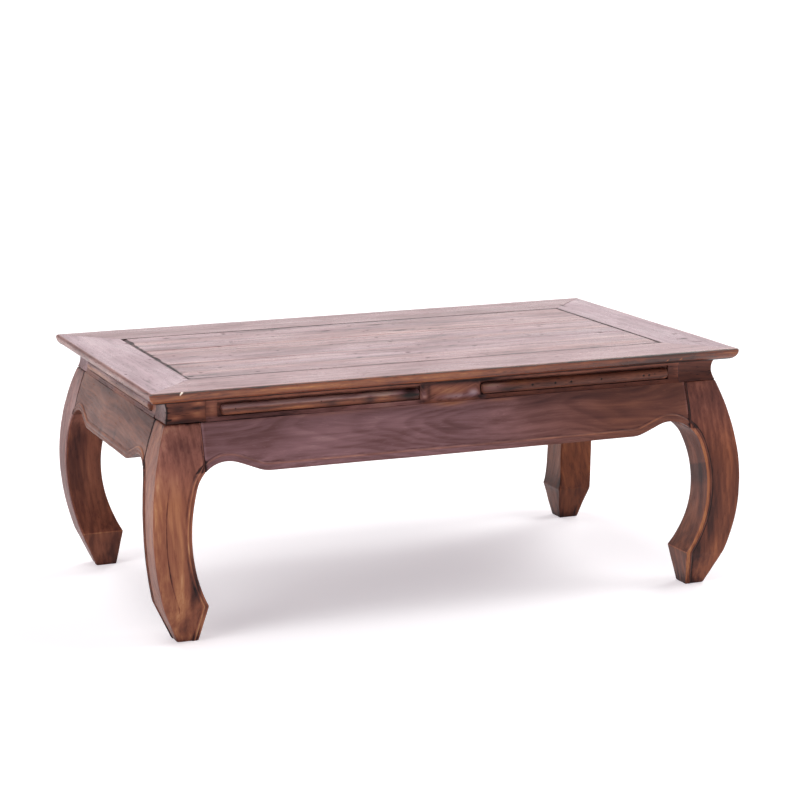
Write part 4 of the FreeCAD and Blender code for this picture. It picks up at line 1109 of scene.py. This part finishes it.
def panel_board_rings(near, far, grooved):
    """Rings of a board, with a groove or a tongue on its near edge and a tongue on the far one."""
    near_reach = near + (TONGUE_LENGTH - BOARD_SEAM + GROOVE_PLAY if grooved else PANEL_SEAM - TONGUE_LENGTH)
    far_reach = far + TONGUE_LENGTH - PANEL_SEAM
    rounded = ((0, 1.6), (0.15, 0.7), (0.6, 0.2))
    section = np.array([
        (near, PANEL_UNDER), (near, TONGUE_LOW), (near_reach, TONGUE_LOW),
        (near_reach, TONGUE_TOP), (near, TONGUE_TOP),
        *((near + inset, TOP - drop) for inset, drop in rounded),
        *((across, TOP) for across in np.linspace(near + 1.3, far - 1.3, 72)),
        *((far - inset, TOP - drop) for inset, drop in rounded[::-1]),
        (far, TONGUE_TOP), (far_reach, TONGUE_TOP), (far_reach, TONGUE_LOW),
        (far, TONGUE_LOW), (far, PANEL_UNDER),
        *((across, PANEL_UNDER) for across in np.linspace(far - 5, near + 5, 8)),
    ])
    shoulder = half_x + 0.02
    along = np.unique(np.concatenate([             # closer at the ends and under the two rows of scratches
        [-half_x - TONGUE_END, -shoulder, shoulder, half_x + TONGUE_END],
        np.linspace(-half_x, -half_x + 6, 9), np.linspace(-half_x + 7, half_x - 4, 290),
        np.arange(-400, -350, 1.0), np.arange(-270, -196, 1.0), np.linspace(half_x - 1.5, half_x, 4),
    ]))
    across, up = section.T
    rounding = soft_end(half_x - np.abs(along), 1.5, 0.9)[:, None]
    up = up - np.where(up > TOP - 1, rounding, 0)
    tongue = np.abs(along) > half_x + 0.01
    up[tongue] = np.clip(up[tongue], TONGUE_LOW, TONGUE_TOP)
    return np.stack(np.broadcast_arrays(along[:, None], across, up), axis=-1)


panel_wood = waxed_wood(
    "polished teak of the panel", TEAK,
    figure=0.04, streaks=0.9, cloud=0.5, ring=6.0, sway=24.0, roughness=0.27, gloss=0.5, checks=1.6,
)
BOARD_TONES = (0.36, 0.38, 0.37)
# Pits by x, y and half-length, then two rows of scratches by x limits, y and half-length.
TOP_PITS = (
    (-4, 184, 4), (2, -8, 4), (-9, -122, 5), (2, -184, 4), (-99, -134, 5), (-4, 46, 4),
    (114, -109, 4), (297, 39, 6), (282, 124, 4), (-375, -163, 4), (-398, -188, 5),
    (-335, 192, 7), (-60, 150, 9), (60, 100, 16), (40, 175, 18),
)
SCRATCHES = ((-262, -206, 113, 9), (-396, -356, -98, 7))
MORE_PITS, STROKES = 80, 9
scatter = np.random.default_rng(7)
limits = ((-half_x, half_x), (-half_y, half_y), (1.2, 5))
more_pits = np.column_stack([scatter.uniform(low, high, MORE_PITS) for low, high in limits])
pit_places = [(*spot, size, 4.5, 1.0) for *spot, size in TOP_PITS]
pit_places += [(*spot, size, 3.2, 0.8) for *spot, size in more_pits]
for number in range(BOARD_COUNT):
    near = -half_y + pitch * number
    far = near + pitch - BOARD_SEAM
    points = panel_board_rings(near, far, number > 0)
    x, y, up = (points[..., k].copy() for k in range(3))
    pits = patches(x, y, pit_places)
    for first, last, row, reach in SCRATCHES:
        strokes = scatter.uniform(-1, 1, (STROKES, 2))
        places = np.linspace(first, last, STROKES) + 2 * strokes[:, 0]
        slope = row - (places - first) * 0.25 + 5 * strokes[:, 1]
        pits += patches(x, y, [(*spot, 1.0, reach, 0.55) for spot in zip(places, slope)])
    crumbled = unit(1 - (x + half_x) / 17) * (np.abs(x) < half_x + 0.01) * (up > TONGUE_TOP + 0.5)
    ragged = 0.35 * ripple(points, (50, 30, 50), 90) + 0.12 * ripple(points, (50, 9, 50), 91)
    points[..., 0] += crumbled * RAGGED * (0.45 + 0.35 * y / half_y + ragged)
    board = skin(f"tongued_board_{number + 1}", points)
    uneven = 0.3 * ripple(points, (160, 26, 20), number + 80) + 0.15 * ripple(points, (50, 7, 7), number + 85)
    wear_down(board, (up > TOP - 2) * (0.35 + uneven + 0.6 * pits))
    front, back = (1.6 if number == 0 else 0.288), (0.8 if number == BOARD_COUNT - 1 else 0.2)
    seams = sum(strength * np.exp(-np.maximum(away, 0) / reach) for strength, away, reach in (
        (front, y - near, 3), (back, far - y, 1.6), (0.95, x + half_x, 2.5), (0.7, half_x - x, 2),
    ))
    soil = np.where(up < TOP - 1.2, 1.0, seams) + pits
    # Mostly bloomed, which also paints the top's reflection of the white surroundings.
    haze = 0.82 + 0.18 * ripple(points, (400, 30, 30), number + 95)
    grain = points + (1900 * number, -near - 50, -330)
    mark(board, grain, tone=BOARD_TONES[number], wear=0, soil=soil, haze=haze)
    dress(board, panel_wood)
    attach(board, "root")
    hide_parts(f"panel_board_{number + 1}")


# Stage: a pale floor that runs out of the picture and keeps the table's shadow, a white surround,
# and five broad soft lights, with the camera where the photographer stood.
FLOOR_REACH = 60.0                      # metres
FLOOR_GLOW, FLOOR_PAPER = 0.5, 0.7      # what no shadow takes from the floor's white, and its paper as seen
PAPER_LIT, SKY_LIT = 0.95, 0.08         # how the paper and the surround light the table
SUN_WIDTH = math.radians(30)


def directly_seen(tree):
    """One for what the camera sees, straight or by way of a gloss, and nought for what lights the table."""
    rays = node(tree, "ShaderNodeLightPath").outputs
    seen = rays["Is Camera Ray"]
    for word in ("Is Glossy Ray", "Is Transmission Ray"):
        seen = node(tree, "ShaderNodeMath", {0: seen, 1: rays[word]}, operation="MAXIMUM").outputs["Value"]
    return seen


floor_mesh = bpy.data.meshes.new("floor")
floor_corners = [(x * FLOOR_REACH, y * FLOOR_REACH, 0) for x, y in ((-1, -1), (1, -1), (1, 1), (-1, 1))]
floor_mesh.from_pydata(floor_corners, [], [(0, 1, 2, 3)])
floor = bpy.data.objects.new("floor", floor_mesh)
bpy.context.scene.collection.objects.link(floor)
paper = bpy.data.materials.new("white paper floor")
paper.use_nodes = True
tree = paper.node_tree
tree.nodes.clear()
seen = directly_seen(tree)
glow = node(tree, "ShaderNodeMath", {0: seen, 1: FLOOR_GLOW}, operation="MULTIPLY").outputs["Value"]
pale = node(tree, "ShaderNodeMapRange", {"Value": seen, "To Min": PAPER_LIT, "To Max": FLOOR_PAPER})
matt = node(tree, "ShaderNodeBsdfDiffuse", {"Color": pale.outputs["Result"]})
bright = node(tree, "ShaderNodeEmission", {"Color": linear("#fff7fd"), "Strength": glow})
sheet = node(tree, "ShaderNodeAddShader", {0: matt.outputs["BSDF"], 1: bright.outputs["Emission"]})
node(tree, "ShaderNodeOutputMaterial", {"Surface": sheet.outputs["Shader"]})
floor_mesh.materials.append(paper)

world = bpy.data.worlds.new("white studio")
bpy.context.scene.world = world
world.use_nodes = True
tree = world.node_tree
tree.nodes.clear()
strength = node(tree, "ShaderNodeMapRange", {"Value": directly_seen(tree), "To Min": SKY_LIT, "To Max": 1.0})
around = node(tree, "ShaderNodeBackground", {"Color": (1, 1, 1, 1), "Strength": strength.outputs["Result"]})
node(tree, "ShaderNodeOutputWorld", {"Surface": around.outputs["Background"]})

# Each soft light by where it comes from, round the table and above the floor in degrees, and its strength.
for name, bearing, height, strength in (
    ("right light", 345, 50, 1.29), ("window light", 40, 34, 1.53), ("back light", 112, 63, 0.84),
    ("left light", 210, 37, 1.07), ("overhead light", 215, 80, 0.73),
):
    lamp = bpy.data.lights.new(name, "SUN")
    lamp.energy = strength
    lamp.angle = SUN_WIDTH
    hung = bpy.data.objects.new(name, lamp)
    bearing, height = math.radians(bearing), math.radians(height)
    flat = Vector((math.cos(bearing), math.sin(bearing), 0)) * math.cos(height)
    hung.rotation_euler = (flat + Vector((0, 0, math.sin(height)))).to_track_quat("Z", "Y").to_euler()
    bpy.context.scene.collection.objects.link(hung)

CAMERA_PLACE = Vector((-1.41728, -3.86748, 1.07621))
CAMERA_AZIMUTH, CAMERA_ELEVATION, CAMERA_ROLL = (math.radians(angle) for angle in (-20.401, 10.665, -0.822))
back = Vector((
    math.sin(CAMERA_AZIMUTH) * math.cos(CAMERA_ELEVATION),
    -math.cos(CAMERA_AZIMUTH) * math.cos(CAMERA_ELEVATION),
    math.sin(CAMERA_ELEVATION),
))
level = Vector((math.cos(CAMERA_AZIMUTH), math.sin(CAMERA_AZIMUTH), 0))
upright = back.cross(level)
right = math.cos(CAMERA_ROLL) * level + math.sin(CAMERA_ROLL) * upright
upward = math.cos(CAMERA_ROLL) * upright - math.sin(CAMERA_ROLL) * level
lens = bpy.data.cameras.new("camera")
lens.lens, lens.sensor_width = 110.77, 36.0
lens.clip_end = 300
camera = bpy.data.objects.new("camera", lens)
camera.matrix_world = Matrix((right, upward, back)).transposed().to_4x4()
camera.location = CAMERA_PLACE
bpy.context.scene.collection.objects.link(camera)
bpy.context.scene.camera = camera
bpy.context.scene.view_settings.view_transform = "Standard"
